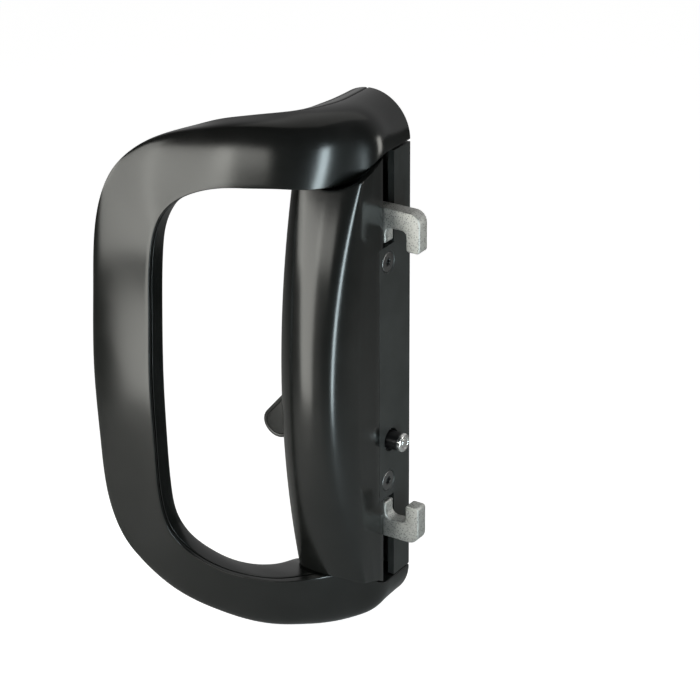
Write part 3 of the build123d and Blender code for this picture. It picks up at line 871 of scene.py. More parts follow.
@dataclass
class Pull:
    """D pull in two shells, carried along three rails from the upper cap to the lower one.

    Attributes:
        crease: Front crease, upper half.
        seam: Widest line, upper half.
        back: Rear edge, upper half.
        round_cap: Length of the section's Bezier legs in the caps, where it makes them half round.
        round_grip: Length of the legs that leave the crease and the rear edge in the grip.
        corner_grip: Length of the legs at the grip's widest line.
        grip_rise: How fast the section turns from the cap's to the grip's.
        seam_share_cap: Where the parting starts in the caps, as a share from crease to rear edge.
        seam_share_grip: Where it starts in the grip.
        seam_gap: Width of the seam's groove.
        lip_gap: Gap between the shells behind the groove.
        lip_inset: Depth of the groove.
        seam_behind: How far the parting's outer end lies behind the widest line.
        edge_round: Rounding of the crease and the rear edge.
        seam_round: Rounding beside the seam.
        rings: Sections along the pull.
        front_facets: Facets from the crease to the widest line.
        rear_facets: Points from the seam to the rear edge.
        side_facets: Facets of each shell's inner side, front and rear.
        seam_facets: Facets along the parting.
        lip_facets: Facets of the groove's floor and of the lip's side.
        corner_facets: Facets of a rounded corner.
        tongue: Half width, depth and highest point of the pocket for the base plate's tongue.
        pocket_open: Lowest point of the pocket's cutter, and how far it stands out at the back.
    """

    crease: Rail = field(default_factory=lambda: [
        (19, 0, 99.5), (19, -7, 99.5), (19, -14, 99.5), (19, -20.2, 99.2), (17.4, -25.6, 96),
        (13.9, -30.4, 92), (9.9, -36, 89.6), (5.4, -43, 89.1), (-0.8, -50, 89.5), (-9.5, -56.2, 90.2),
        (-20, -61, 89.9), (-31, -64.3, 88.9), (-42, -67, 85.8), (-51.8, -69.6, 80.2), (-58, -72, 72),
        (-60.6, -74.2, 60), (-61, -76.6, 32), (-61, -78, 0),
    ])
    seam: Rail = field(default_factory=lambda: [
        (0, 0, 118.5), (0, -7, 118.5), (0, -14, 118.5), (-0.4, -20, 118.5), (-1.6, -25, 118.5),
        (-3.6, -30.3, 118.4), (-7.2, -35.6, 118.2), (-13, -40.8, 117.8), (-20, -45.4, 117.1),
        (-28, -50, 116), (-37, -53.7, 114.2), (-47, -57.2, 111), (-58.6, -60.4, 107),
        (-71.2, -63.6, 100.4), (-82.4, -66.6, 90.2), (-89.8, -68.8, 75), (-92.8, -70.8, 37),
        (-93.2, -71.5, 0),
    ])
    back: Rail = field(default_factory=lambda: [
        (-19, 0, 99.5), (-19, -7, 99.5), (-19, -14, 99.5), (-19, -20.4, 99.3), (-18.9, -26, 96.6),
        (-18.7, -31, 93), (-19, -36.5, 91.2), (-21.4, -43, 90.6), (-26.8, -48.4, 90.2),
        (-33.6, -51.8, 89.5), (-41, -54.2, 87.8), (-48.2, -56.2, 84.6), (-54, -58.6, 80),
        (-58.2, -61, 73.6), (-60.4, -63, 66), (-61, -64.6, 56), (-61, -66.6, 30), (-61, -67.5, 0),
    ])
    round_cap: float = 0.5523
    round_grip: float = 0.95
    corner_grip: float = 0.9
    grip_rise: float = 1.7
    seam_share_cap: float = 0.5
    seam_share_grip: float = 0.15
    seam_gap: float = 0.8
    lip_gap: float = 0.08
    lip_inset: float = 1.6
    seam_behind: float = 1.2
    edge_round: float = 0.7
    seam_round: float = 0.4
    rings: int = 361
    front_facets: int = 56
    rear_facets: int = 48
    side_facets: tuple[int, int] = (8, 10)
    seam_facets: int = 6
    lip_facets: int = 2
    corner_facets: int = 4
    tongue: tuple[float, float, float] = (11.2, 3.2, 112.2)
    pocket_open: tuple[float, float] = (97.0, 2.0)

    def whole(self, rail: Rail) -> np.ndarray:
        """The rail's upper half followed by its mirror image below."""
        half = np.array(rail, float)
        return np.concatenate([half, half[-2::-1] * (1, 1, -1)])

    def stations(self) -> dict[str, np.ndarray]:
        """Rails, section axes and blend share at closely spaced stations.

        All three rails share one parameter, the mean chord length, so that a station's points lie
        in one section. The share rises softly from 0 at the caps to 1 at the grip.

        Returns:
            Arrays named crease, seam, back, across, outward and share.
        """
        rails = [self.whole(rail) for rail in (self.crease, self.seam, self.back)]
        chords = np.mean([np.linalg.norm(np.diff(rail, axis=0), axis=1) for rail in rails], axis=0)
        knots = np.concatenate([[0], np.cumsum(chords)])
        at = np.linspace(0, knots[-1], self.rings)
        crease, seam, back = (cubic_through(rail, knots, at) for rail in rails)
        place = np.interp(at, knots, np.linspace(0, 1, len(knots)))
        share = np.clip((1 - np.abs(2 * place - 1)) * self.grip_rise, 0, 1)
        share = share * share * (3 - 2 * share)
        across = crease - back
        across /= np.linalg.norm(across, axis=1, keepdims=True)
        reach = seam - crease
        outward = reach - across * (reach * across).sum(1, keepdims=True)
        outward /= np.linalg.norm(outward, axis=1, keepdims=True)
        return {"crease": crease, "seam": seam, "back": back, "across": across,
                "outward": outward, "share": share[:, None]}

    def curves(self, at: dict[str, np.ndarray]) -> tuple[list, list]:
        """Control points of the front curve, crease to widest line, and of the rear curve.

        Args:
            at: The stations.

        Returns:
            Four control points of the front curve and four of the rear curve.
        """
        handle = self.round_cap + (self.round_grip - self.round_cap) * at["share"]
        corner = self.round_cap + (self.corner_grip - self.round_cap) * at["share"]

        def along(vector: np.ndarray, axis: str) -> np.ndarray:
            """Length of a vector along one of the section's axes."""
            return (vector * at[axis]).sum(1, keepdims=True)

        crease, seam, back = at["crease"], at["seam"], at["back"]
        front = [crease, crease + at["outward"] * handle * along(seam - crease, "outward"),
                 seam + at["across"] * corner * along(crease - seam, "across"), seam]
        rear = [seam, seam - at["across"] * corner * along(seam - back, "across"),
                back + at["outward"] * handle * along(seam - back, "outward"), back]
        return front, rear

    def parting(self, at: dict[str, np.ndarray], rear: list, set_back: float) -> tuple:
        """Ends of the parting line in each section.

        The line starts on the chord from crease to rear edge. Its outer end is where the rear curve
        crosses it, found by halving the span of the curve's parameter.

        Args:
            at: The stations.
            rear: Control points of the rear curve.
            set_back: How far the line is moved to the rear.

        Returns:
            Inner point, outer point and the rear curve's parameter at the outer point.
        """
        part = self.seam_share_cap + (self.seam_share_grip - self.seam_share_cap) * at["share"]
        inner = at["crease"] + (at["back"] - at["crease"]) * part
        outer = at["seam"] - at["across"] * self.seam_behind
        line = outer - inner
        line /= np.linalg.norm(line, axis=1, keepdims=True)
        normal = at["across"] - line * (at["across"] * line).sum(1, keepdims=True)
        normal /= np.linalg.norm(normal, axis=1, keepdims=True)
        furthest, halvings = 0.6, 30
        low, high = np.zeros(len(inner)), np.full(len(inner), furthest)
        for _ in range(halvings):
            middle = (low + high) / 2
            point = bezier(rear, middle[:, None])[:, 0]
            ahead = ((point - inner) * normal).sum(1) + set_back > 0
            low, high = np.where(ahead, middle, low), np.where(ahead, high, middle)
        slant = 1 / (normal * at["across"]).sum(1, keepdims=True)
        inner = inner - at["across"] * set_back * slant
        return inner, bezier(rear, middle[:, None])[:, 0], middle

    def softened(self, before: np.ndarray, corner: np.ndarray, after: np.ndarray) -> np.ndarray:
        """Rounded corner: the quadratic Bezier curve from before to after, pulled to the corner."""
        share = np.linspace(0, 1, self.corner_facets, endpoint=False)
        return bezier([before, corner, after], share)

    def front_outline(self, at: dict[str, np.ndarray]) -> np.ndarray:
        """Closed sections of the front shell, of shape (stations, points, 3).

        A cubic Bezier curve leaves its end at three times its leg, so the rounding's length divided
        by that is the parameter at which the curve starts.

        Args:
            at: The stations.

        Returns:
            Points in millimetres, section by section.
        """
        front, rear = self.curves(at)
        inner, outer, limit = self.parting(at, rear, 0.0)
        crease = at["crease"]
        start = self.edge_round / (3 * np.linalg.norm(front[1] - front[0], axis=1))
        share = np.linspace(0, 1, self.front_facets, endpoint=False)
        along = start[:, None] + (1 - start)[:, None] * share
        leave = bezier(front, start[:, None])[:, 0]
        near_seam, points = 0.9, 6
        past_widest = np.linspace(0, near_seam, points)[None] * limit[:, None]
        last = bezier(rear, past_widest[:, -1:])[:, 0]
        seam_in, seam_out = toward(inner, outer, self.seam_round), toward(outer, inner, self.seam_round)
        side_in, side_out = toward(inner, crease, self.seam_round), toward(crease, inner, self.edge_round)
        return np.concatenate([
            straight(side_in, side_out, self.side_facets[0]),
            self.softened(side_out, crease, leave),
            bezier(front, along),
            bezier(rear, past_widest)[:, :-1],
            self.softened(last, outer, seam_out),
            straight(seam_out, seam_in, self.seam_facets),
            self.softened(seam_in, inner, side_in),
        ], axis=1)

    def rear_outline(self, at: dict[str, np.ndarray]) -> np.ndarray:
        """Closed sections of the rear shell, of shape (stations, points, 3).

        Along the parting line the middle stands forward as a lip, so that the seam is a shallow
        groove which can't be seen through.

        Args:
            at: The stations.

        Returns:
            Points in millimetres, section by section.
        """
        _, rear = self.curves(at)
        inner, outer, limit = self.parting(at, rear, self.seam_gap)
        lip_inner, lip_outer, _ = self.parting(at, rear, self.lip_gap)
        foot_in, foot_out = toward(inner, outer, self.lip_inset), toward(outer, inner, self.lip_inset)
        lip_in = toward(lip_inner, lip_outer, self.lip_inset)
        lip_out = toward(lip_outer, lip_inner, self.lip_inset)
        back = at["back"]
        past_seam = 0.03
        start = limit + (1 - limit) * past_seam
        end = 1 - self.edge_round / (3 * np.linalg.norm(rear[3] - rear[2], axis=1))
        along = start[:, None] + (end - start)[:, None] * np.linspace(0, 1, self.rear_facets)
        curve = bezier(rear, along)
        seam_in, seam_out = toward(inner, outer, self.seam_round), toward(outer, inner, self.seam_round)
        side_in, side_out = toward(inner, back, self.seam_round), toward(back, inner, self.edge_round)
        return np.concatenate([
            straight(seam_in, foot_in, self.lip_facets),
            straight(foot_in, lip_in, self.lip_facets),
            straight(lip_in, lip_out, self.seam_facets),
            straight(lip_out, foot_out, self.lip_facets),
            straight(foot_out, seam_out, self.lip_facets),
            self.softened(seam_out, outer, curve[:, 0]),
            curve[:, :-1],
            self.softened(curve[:, -1], back, side_out),
            straight(side_out, side_in, self.side_facets[1]),
            self.softened(side_in, inner, seam_in),
        ], axis=1)

    def pocket(self, end: End) -> bpy.types.Object:
        """Cutter for the base plate's tongue behind a cap.

        Args:
            end: The end that the cap is at.

        Returns:
            The cutter.
        """
        half, deep, top = self.tongue
        low, behind = self.pocket_open
        corners = np.array([(x, y, end.value * z) for z in (low, top) for y in (-deep, behind)
                            for x in (-half, half)])
        faces = [(0, 1, 3, 2), (4, 6, 7, 5), (0, 4, 5, 1), (2, 3, 7, 6), (0, 2, 6, 4), (1, 5, 7, 3)]
        return closed_object("pocket", corners, faces)

    def shell(self, name: str, sections: np.ndarray, node: str,
              paint: bpy.types.Material) -> bpy.types.Object:
        """Makes one shell from its sections and cuts the pockets in its caps.

        Args:
            name: Name of the piece.
            sections: Closed sections of shape (stations, points, 3).
            node: CAD node that it replaces.
            paint: Finish.

        Returns:
            The shell.
        """
        faces = closed_tube(*sections.shape[:2])
        piece = make_piece(name, sections.reshape(-1, 3), faces, Body.LOCK, "satin_black_shell", paint)
        for end in End:
            cut_away(piece, self.pocket(end))
        keep_sharp(piece)
        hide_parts(node)
        return piece

    def build(self, paint: bpy.types.Material, screws: "ShellScrews") -> None:
        """Makes both shells and the screws' counterbores in the rear one.

        Args:
            paint: Finish.
            screws: Screws whose counterbores are cut.
        """
        at = self.stations()
        self.shell("pull_front", self.front_outline(at), "handle_front_shell", paint)
        rear = self.shell("pull_rear", self.rear_outline(at), "handle_back_shell", paint)
        for cutter in screws.counterbores():
            cut_away(rear, cutter)
        keep_sharp(rear)


# Casing


@dataclass
class Casing:
    """Bowed cover: an arched section that grows lower and broader towards both ends.

    Attributes:
        half_width: Half of its width along X.
        middle_arch: Points of the arch at the middle, from the edge side over the crown.
        end_arch: The same points at the height end_z.
        end_z: Height of the end arch.
        full_z: Greatest height that the cover reaches.
        wall: Thickness of the wall.
        seam_y: Where the arch starts on the edge side.
        slot_y: Front side of the hooks' slots.
        slot_end: Height of the slots' inner ends.
        arm_gap: X, Y and height of the cover's end below an arm.
        beside_arm: Y and height of the cover's end beside an arm.
        arm_clear: How far past the arm's edge the end starts to rise.
        axis_y: Y of a line inside the cover.
        arch_columns: Points across the arch.
        left_columns: Facets from the arch to the door on the pull side.
        middle_rows: Rows from the middle to a slot's inner end.
        end_rows: Rows from there to the cover's end.
        lever_slot: Rear side, front side and half length of the lever's slot.
        slot_cut: X span of that slot's cutter.
        rim_round: Rounding of the rims.
    """

    half_width: float = 19.0
    middle_arch: Outline = field(default_factory=lambda: [
        (19, -28), (19, -36), (18.6, -43.8), (14.6, -53.2), (8.9, -56.5), (-0.4, -56.7), (-7, -54.4),
        (-12.6, -50.1), (-17.6, -42.4), (-19, -33), (-19, -25),
    ])
    end_arch: Outline = field(default_factory=lambda: [
        (19, -25.7), (19, -30), (18.7, -35.6), (17, -39.6), (8.9, -43.8), (-5.9, -44.2), (-9.4, -43),
        (-12.3, -40.7), (-16.6, -34.4), (-19, -27.5), (-19, -20),
    ])
    end_z: float = 85.0
    full_z: float = 99.3
    wall: float = 2.2
    seam_y: float = -24.35
    slot_y: float = -21.4
    slot_end: float = 58.2
    arm_gap: Rail = field(default_factory=lambda: [
        (19, -5, 99.3), (19, -14, 99.3), (19, -20, 98.9), (17.4, -25.6, 95.6), (13.9, -30.4, 91.6),
        (9.9, -36, 89.2), (5.4, -43, 88.6), (5.4, -80, 88.6),
    ])
    beside_arm: Outline = field(default_factory=lambda: [
        (-5, 99.3), (-14, 99.3), (-20, 98.8), (-28.3, 94.6), (-36, 92.3), (-43, 90.3), (-80, 88.6),
    ])
    arm_clear: float = 1.2
    axis_y: float = -25.0
    arch_columns: int = 110
    left_columns: int = 16
    middle_rows: int = 61
    end_rows: int = 36
    lever_slot: tuple[float, float, float] = (-27.4, -33.9, 29.7)
    slot_cut: tuple[float, float] = (-24.0, -12.0)
    rim_round: float = 0.35

    def end_height(self, x: np.ndarray, y: np.ndarray) -> np.ndarray:
        """Height at which the cover ends: below the arm, and higher beside it.

        The line below the arm is smoothed by a weighted moving average. Past the arm's edge the
        height rises from it by the smooth step 3 s^2 - 2 s^3 of the share s of the way to the side.

        Args:
            x: X of the points.
            y: Y of the points.

        Returns:
            Heights of the same shape.
        """
        samples, window, side_flat = 400, np.hanning(17), 0.5
        points = np.array(self.arm_gap)[::-1]
        fine = np.linspace(points[0, 1], points[-1, 1], samples)
        heights = np.interp(fine, points[:, 1], points[:, 2])
        padded = np.pad(heights, len(window) // 2, mode="edge")
        below = np.interp(y, fine, np.convolve(padded, window / window.sum(), mode="valid"))
        side = np.array(self.beside_arm)[::-1]
        beside = np.maximum(np.interp(y, side[:, 0], side[:, 1]), below)
        edge = np.interp(y, points[:, 1], points[:, 0]) + self.arm_clear
        share = np.clip((x - edge) / np.maximum(self.half_width - side_flat - edge, 1), 0, 1)
        return below + (beside - below) * share * share * (3 - 2 * share)

    def outline(self, z: np.ndarray) -> np.ndarray:
        """Cover outline at given heights, from the edge side's slots round to the door.

        The arch is a cubic spline through points that move from the middle's to the end's with the
        square of the height.

        Args:
            z: Heights of shape (m,).

        Returns:
            X and Y of shape (m, n, 2); column 0 is the edge side at the slots' line.
        """
        middle, end = np.array(self.middle_arch, float), np.array(self.end_arch, float)
        chords = np.linalg.norm(np.diff((middle + end) / 2, axis=0), axis=1)
        knots = np.concatenate([[0], np.cumsum(chords)])
        share = (z / self.end_z) ** 2
        points = middle[:, None] + (end - middle)[:, None] * share[None, :, None]
        along = np.linspace(0, knots[-1], self.arch_columns)
        arch = cubic_through(points.reshape(len(middle), -1), knots, along)
        arch = arch.reshape(len(along), len(z), 2).transpose(1, 0, 2)
        arch[..., 0] = np.clip(arch[..., 0], -self.half_width, self.half_width)

        def at(x: float, y: float) -> np.ndarray:
            """One point as rows, the same at every height."""
            return np.broadcast_to([x, y], (len(z), 2)).astype(float)

        right, left = self.half_width, -self.half_width
        return np.concatenate([
            straight(at(right, self.slot_y), at(right, self.seam_y), 1),
            at(right, self.seam_y)[:, None],
            arch,
            straight(arch[:, -1], at(left, 0), self.left_columns)[:, 1:],
            at(left, 0)[:, None],
        ], axis=1)

    def outer(self) -> tuple[np.ndarray, np.ndarray]:
        """Grid of the outer surface, one row per height.

        Rows past the slots' inner ends are drawn together so that the last one follows the arms.
        The outline depends on the height and the height on the outline, so both are worked out in
        turn until they settle.

        Returns:
            Points of shape (rows, columns, 3) and each row's height before it is drawn together.
        """
        full, turns = self.full_z, 6
        middle = np.linspace(0, self.slot_end, self.middle_rows)
        half = np.concatenate([middle, np.linspace(self.slot_end, full, self.end_rows)[1:]])
        rows = np.concatenate([-half[:0:-1], half])
        outline = self.outline(rows)
        beyond = np.abs(rows)[:, None] - self.slot_end
        for _ in range(turns):
            limit = self.end_height(outline[..., 0], outline[..., 1])
            stretch = (limit - self.slot_end) / (full - self.slot_end)
            drawn = np.sign(rows)[:, None] * (self.slot_end + beyond * stretch)
            height = np.where(beyond > 0, drawn, rows[:, None])
            outline = np.stack([self.outline(height[:, column])[:, column]
                                for column in range(outline.shape[1])], axis=1)
        return np.concatenate([outline, height[..., None]], axis=-1), rows

    def inner(self, outer: np.ndarray) -> np.ndarray:
        """The wall's inner surface: each point moved in level, so far that the wall keeps its thickness.

        Args:
            outer: Grid of the outer surface.

        Returns:
            Grid of the same shape.
        """
        normal = np.cross(np.gradient(outer, axis=0), np.gradient(outer, axis=1))
        normal /= np.linalg.norm(normal, axis=2, keepdims=True)
        level = normal * (1, 1, 0)
        inward = level / (level**2).sum(2, keepdims=True)
        towards_axis = (inward * ((0, self.axis_y, 0) - outer) * (1, 1, 0)).sum(2, keepdims=True)
        return outer + inward * np.sign(np.median(towards_axis)) * self.wall

    def build(self, paint: bpy.types.Material) -> None:
        """Makes the cover as a closed shell with rounded rims and cuts the lever's slot.

        The grid's first column reaches from the seam to the hooks' slots, and it is kept only beside
        them. Walls along the rim join the outer surface to the inner one.

        Args:
            paint: Finish.
        """
        outer, rows = self.outer()
        inner = self.inner(outer)
        rings, around = outer.shape[:2]
        faces = tube_faces(rings, around, False)
        ring, column = faces[:, 0] // around, faces[:, 0] % around
        middle = np.abs(rows[ring] + rows[ring + 1]) / 2
        faces = faces[(column > 0) | (middle > self.slot_end)]
        rim = boundary_edges(faces)
        count = rings * around
        walls = np.stack([rim[:, 1], rim[:, 0], rim[:, 0] + count, rim[:, 1] + count], axis=1)
        every = np.concatenate([faces, faces[:, ::-1] + count, walls])
        surface = only_used(np.concatenate([outer.reshape(-1, 3), inner.reshape(-1, 3)]), every)
        piece = make_piece("casing", *surface, Body.LOCK, "satin_black_shell", paint)
        round_rims(piece, self.rim_round)
        cut_away(piece, self.slot_cutter())
        keep_sharp(piece)
        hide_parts("lock_cover")

    def slot_cutter(self) -> bpy.types.Object:
        """Cutter for the lever's slot in the pull side.

        Its ends are rounded by a little less than half its width, so that the arcs don't meet.

        Returns:
            The cutter.
        """
        rear, front, reach = self.lever_slot
        between_arcs = 0.1
        radius = (rear - front - between_arcs) / 2
        corners = [(-reach, front, radius), (reach, front, radius), (reach, rear, radius),
                   (-reach, rear, radius)]
        outline = rounded_outline(corners, steps=8)
        ends = [np.column_stack([np.full(len(outline), x), outline[:, 1], outline[:, 0]])
                for x in self.slot_cut]
        return closed_object("slot_cutter", np.concatenate(ends), closed_tube(2, len(outline)))


# Hooks


@dataclass
class Hook:
    """Hook bolt: a body behind the edge wall, and a beak that stands out through the slot.

    Attributes:
        end: Upper or lower hook.
        body: Moving body that it belongs to.
        depth: Y of its back and front face.
        out_x: X of the beak's outer side.
        in_x: X of the beak's inner side.
        tip_z: Height of the beak's tip.
        throat_z: Height of the throat.
        top_z: Height of the beak's back.
        body_x: X of the body's inner side.
        body_z: Lowest and highest point of the body.
        shoulder_x: X of the step from the body's highest part to the beak's back.
        face_x: X of the body's side below the throat.
        rounding: Rounding of the rims.
    """

    end: End
    body: Body
    depth: tuple[float, float] = (-13.8, -20.2)
    out_x: float = 35.8
    in_x: float = 29.3
    tip_z: float = 58.6
    throat_z: float = 67.5
    top_z: float = 76.2
    body_x: float = 3.0
    body_z: tuple[float, float] = (60.2, 82.0)
    shoulder_x: float = 12.5
    face_x: float = 19.3
    rounding: float = 0.55

    def outline(self) -> np.ndarray:
        """Outline in X and Z with every corner rounded.

        Returns:
            Points of shape (n, 2) in millimetres.
        """
        low, high = self.body_z
        corners = [
            (self.body_x, low, 0.8), (self.face_x, low, 0.8), (self.face_x, self.throat_z, 3.0),
            (self.in_x, self.throat_z, 2.4), (self.in_x, self.tip_z, 1.3), (self.out_x, self.tip_z, 1.5),
            (self.out_x, self.top_z, 5.0), (self.shoulder_x, self.top_z, 0.8),
            (self.shoulder_x, high, 0.8), (self.body_x, high, 0.8),
        ]
        outline = rounded_outline(corners, steps=8)
        if self.end is End.LOWER:
            outline = outline[::-1] * (1, -1)
        return outline

    def build(self, steel: bpy.types.Material) -> None:
        """Makes the hook.

        Args:
            steel: Finish.
        """
        name = "upper_hook" if self.end is End.UPPER else "lower_hook"
        surface = plate_surface(self.outline(), self.depth, self.rounding)
        piece = make_piece(f"{name}_beak", *surface, self.body, "sintered_steel", steel)
        keep_sharp(piece, 50.0)
        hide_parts(name)


# Plunger


@dataclass
class Plunger:
    """Bright grooved head on a stem, and the dark sleeve behind it.

    Attributes:
        centre: Y and Z of the axis.
        sleeve: X of the sleeve's ends.
        sleeve_radius: Radius of the sleeve.
        tip_x: X of the head's face.
        tip_radius: Radius of the head.
        stem_radius: Radius of the stem.
        stem_end: X of the stem's inner end.
        clip_groove: X of the sides of the groove for the clip.
        groove_radius: Radius of the groove's floor.
        around: Facets round the axis.
        sharp: Angle in degrees above which an edge stays sharp.
    """

    centre: tuple[float, float] = (-15.0, -31.9)
    sleeve: tuple[float, float] = (9.0, 24.1)
    sleeve_radius: float = 4.0
    tip_x: float = 26.0
    tip_radius: float = 4.1
    stem_radius: float = 1.5
    stem_end: float = -8.6
    clip_groove: tuple[float, float] = (-8.3, -7.6)
    groove_radius: float = 1.0
    around: int = 96
    sharp: float = 35.0

    def pin_profile(self) -> np.ndarray:
        """Profile of the pin: stem, clip groove, and the head with a ring cut into its face.

        Returns:
            X and radius of each point.
        """
        (groove_in, groove_out), stem, floor = self.clip_groove, self.stem_radius, self.groove_radius
        seat, tip, rim = self.sleeve[1], self.tip_x, self.tip_radius
        return np.array([
            (self.stem_end, 0), (self.stem_end, stem), (groove_in, stem), (groove_in, floor),
            (groove_out, floor), (groove_out, stem), (seat, stem), (seat, rim - 0.15), (seat + 0.15, rim),
            (tip - 0.75, rim), (tip - 0.45, rim - 0.12), (tip - 0.15, rim - 0.4), (tip, rim - 0.8),
            (tip, 2.75), (tip - 0.12, 2.62), (tip - 0.45, 2.5), (tip - 0.5, 2.3), (tip - 0.45, 2.1),
            (tip - 0.12, 1.98), (tip, 1.85), (tip, 0.9), (tip, 0),
        ])

    def sleeve_profile(self) -> np.ndarray:
        """Profile of the sleeve, open round the stem and rounded where it meets the head.

        Returns:
            X and radius of each point.
        """
        (low, high), stem, radius = self.sleeve, self.stem_radius, self.sleeve_radius
        return np.array([
            (low, stem), (low, radius), (high - 0.6, radius), (high - 0.3, radius - 0.1),
            (high - 0.05, radius - 0.45), (high - 0.05, stem),
        ])

    def build(self, bright: bpy.types.Material, dark: bpy.types.Material) -> None:
        """Makes the pin and the sleeve.

        Args:
            bright: Finish of the pin.
            dark: Finish of the sleeve.
        """
        head = lathe_surface(self.pin_profile(), self.centre, self.around)
        piece = make_piece("plunger_head", *head, Body.PLUNGER, "bright_steel", bright)
        keep_sharp(piece, self.sharp)
        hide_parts("plunger_pin")
        barrel = lathe_surface(self.sleeve_profile(), self.centre, self.around)
        piece = make_piece("plunger_barrel", *barrel, Body.PLUNGER, "dark_sleeve", dark)
        keep_sharp(piece, self.sharp)
        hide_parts("plunger_sleeve")


# Fasteners


@dataclass
class EdgeScrews:
    """Two countersunk screws with six-lobed recesses in the edge wall.

    Attributes:
        face_x: X of the edge wall's face.
        sunk: How far the heads lie below it.
        y: Y of both screws.
        z: Height of the upper screw; the lower one is as far below.
        head: Radius of the heads.
        shank: Radius of the shanks.
        length: Length of the screws.
        recess: Radius of the recesses.
        recess_depth: Depth of the recesses below the edge wall's face.
        around: Facets round a screw.
    """

    face_x: float = 19.0
    sunk: float = 0.12
    y: float = -16.9
    z: float = 50.8
    head: float = 4.45
    shank: float = 2.5
    length: float = 12.0
    recess: float = 1.75
    recess_depth: float = 1.9
    around: int = 96

    def profile(self) -> np.ndarray:
        """X, radius and lobe height from the recess's floor over the head to the shank's end.

        Returns:
            Points of shape (n, 3) in millimetres.
        """
        face, floor = self.face_x - self.sunk, self.face_x - self.recess_depth
        recess, head, end = self.recess, self.head, face - self.length
        return np.array([
            (floor - 0.35, 0, 0), (floor, recess * 0.7, 0.1), (floor + 0.1, recess, 0.2),
            (face - 0.15, recess, 0.2), (face, recess + 0.12, 0.17), (face, recess + 0.6, 0.04),
            (face, head - 0.55, 0), (face - 0.05, head - 0.3, 0), (face - 0.22, head - 0.14, 0),
            (face - 0.5, head - 0.4, 0), (face - head + self.shank, self.shank, 0),
            (end, self.shank, 0), (end, 0, 0),
        ])

    def build(self, black: bpy.types.Material) -> None:
        """Makes both screws as one piece.

        Args:
            black: Finish.
        """
        rows = self.profile()
        surface = joined([lathe_surface(rows[:, :2], (self.y, z), self.around, rows[:, 2])
                          for z in (self.z, -self.z)])
        piece = make_piece("edge_screw_pair", *surface, Body.LOCK, "black_screw", black)
        keep_sharp(piece, 38.0)
        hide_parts("edge_screws")


@dataclass
class ShellScrews:
    """Three screws that join the pull's shells, sunk in counterbores behind the grip.

    Attributes:
        x: X of the screws.
        seats: Height of each screw and Y of its head's rear face.
        head: Radius of the heads.
        thickness: Thickness of the heads.
        shank: Radius of the shanks.
        length: Length of the screws.
        recess: Radius of the six-lobed recesses.
        bore: Radius of the counterbores.
        clearance: Gap round the shanks.
        seat_gap: Gap below the heads.
        cut: Y span of the cutters, from behind the rear shell into the front one.
        around: Facets round a screw.
    """

    x: float = -76.0
    seats: Outline = field(default_factory=lambda: [(-50, -65.6), (0, -68.5), (50, -65.6)])
    head: float = 2.7
    thickness: float = 1.8
    shank: float = 1.5
    length: float = 6.0
    recess: float = 1.25
    bore: float = 3.1
    clearance: float = 0.1
    seat_gap: float = 0.02
    cut: tuple[float, float] = (-45.0, -76.0)
    around: int = 64

    def upright(self, profile: np.ndarray, z: float, lobes: np.ndarray | None = None) -> Surface:
        """The profile turned about an axis along Y; its first column is the point's Y."""
        vertices, faces = lathe_surface(profile, (self.x, z), self.around, lobes)
        return vertices[:, [1, 0, 2]], faces

    def counterbores(self) -> list[bpy.types.Object]:
        """Cutters: a wide bore for each head and a narrow one through the rear shell.

        Returns:
            The cutters, one for each screw.
        """
        cutters, (start, end), narrow = [], self.cut, self.shank + self.clearance
        for z, top in self.seats:
            floor = top - self.thickness - self.seat_gap
            rows = np.array([(start, 0), (start, self.bore), (floor, self.bore), (floor, narrow),
                             (end, narrow), (end, 0)])
            cutters.append(closed_object("counterbore", *self.upright(rows, z)))
        return cutters

    def build(self, steel: bpy.types.Material) -> None:
        """Makes the three screws as one piece.

        Args:
            steel: Finish.
        """
        head, shank, recess = self.head, self.shank, self.recess
        rows = np.array([
            (-1.45, 0, 0), (-1.3, recess * 0.8, 0.14), (-0.12, recess, 0.2), (0, recess + 0.1, 0.17),
            (0, recess + 0.5, 0.04), (0, head - 0.6, 0), (-0.12, head - 0.3, 0), (-0.35, head - 0.1, 0),
            (-0.7, head, 0), (-self.thickness, head, 0), (-self.thickness, shank, 0),
            (-self.length, shank, 0), (-self.length, 0, 0),
        ])
        surface = joined([self.upright(rows[:, :2] + (top, 0), z, rows[:, 2]) for z, top in self.seats])
        piece = make_piece("shell_screw_set", *surface, Body.LOCK, "zinc_steel", steel)
        keep_sharp(piece, 38.0)
        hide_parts("shell_screws")


# Lever


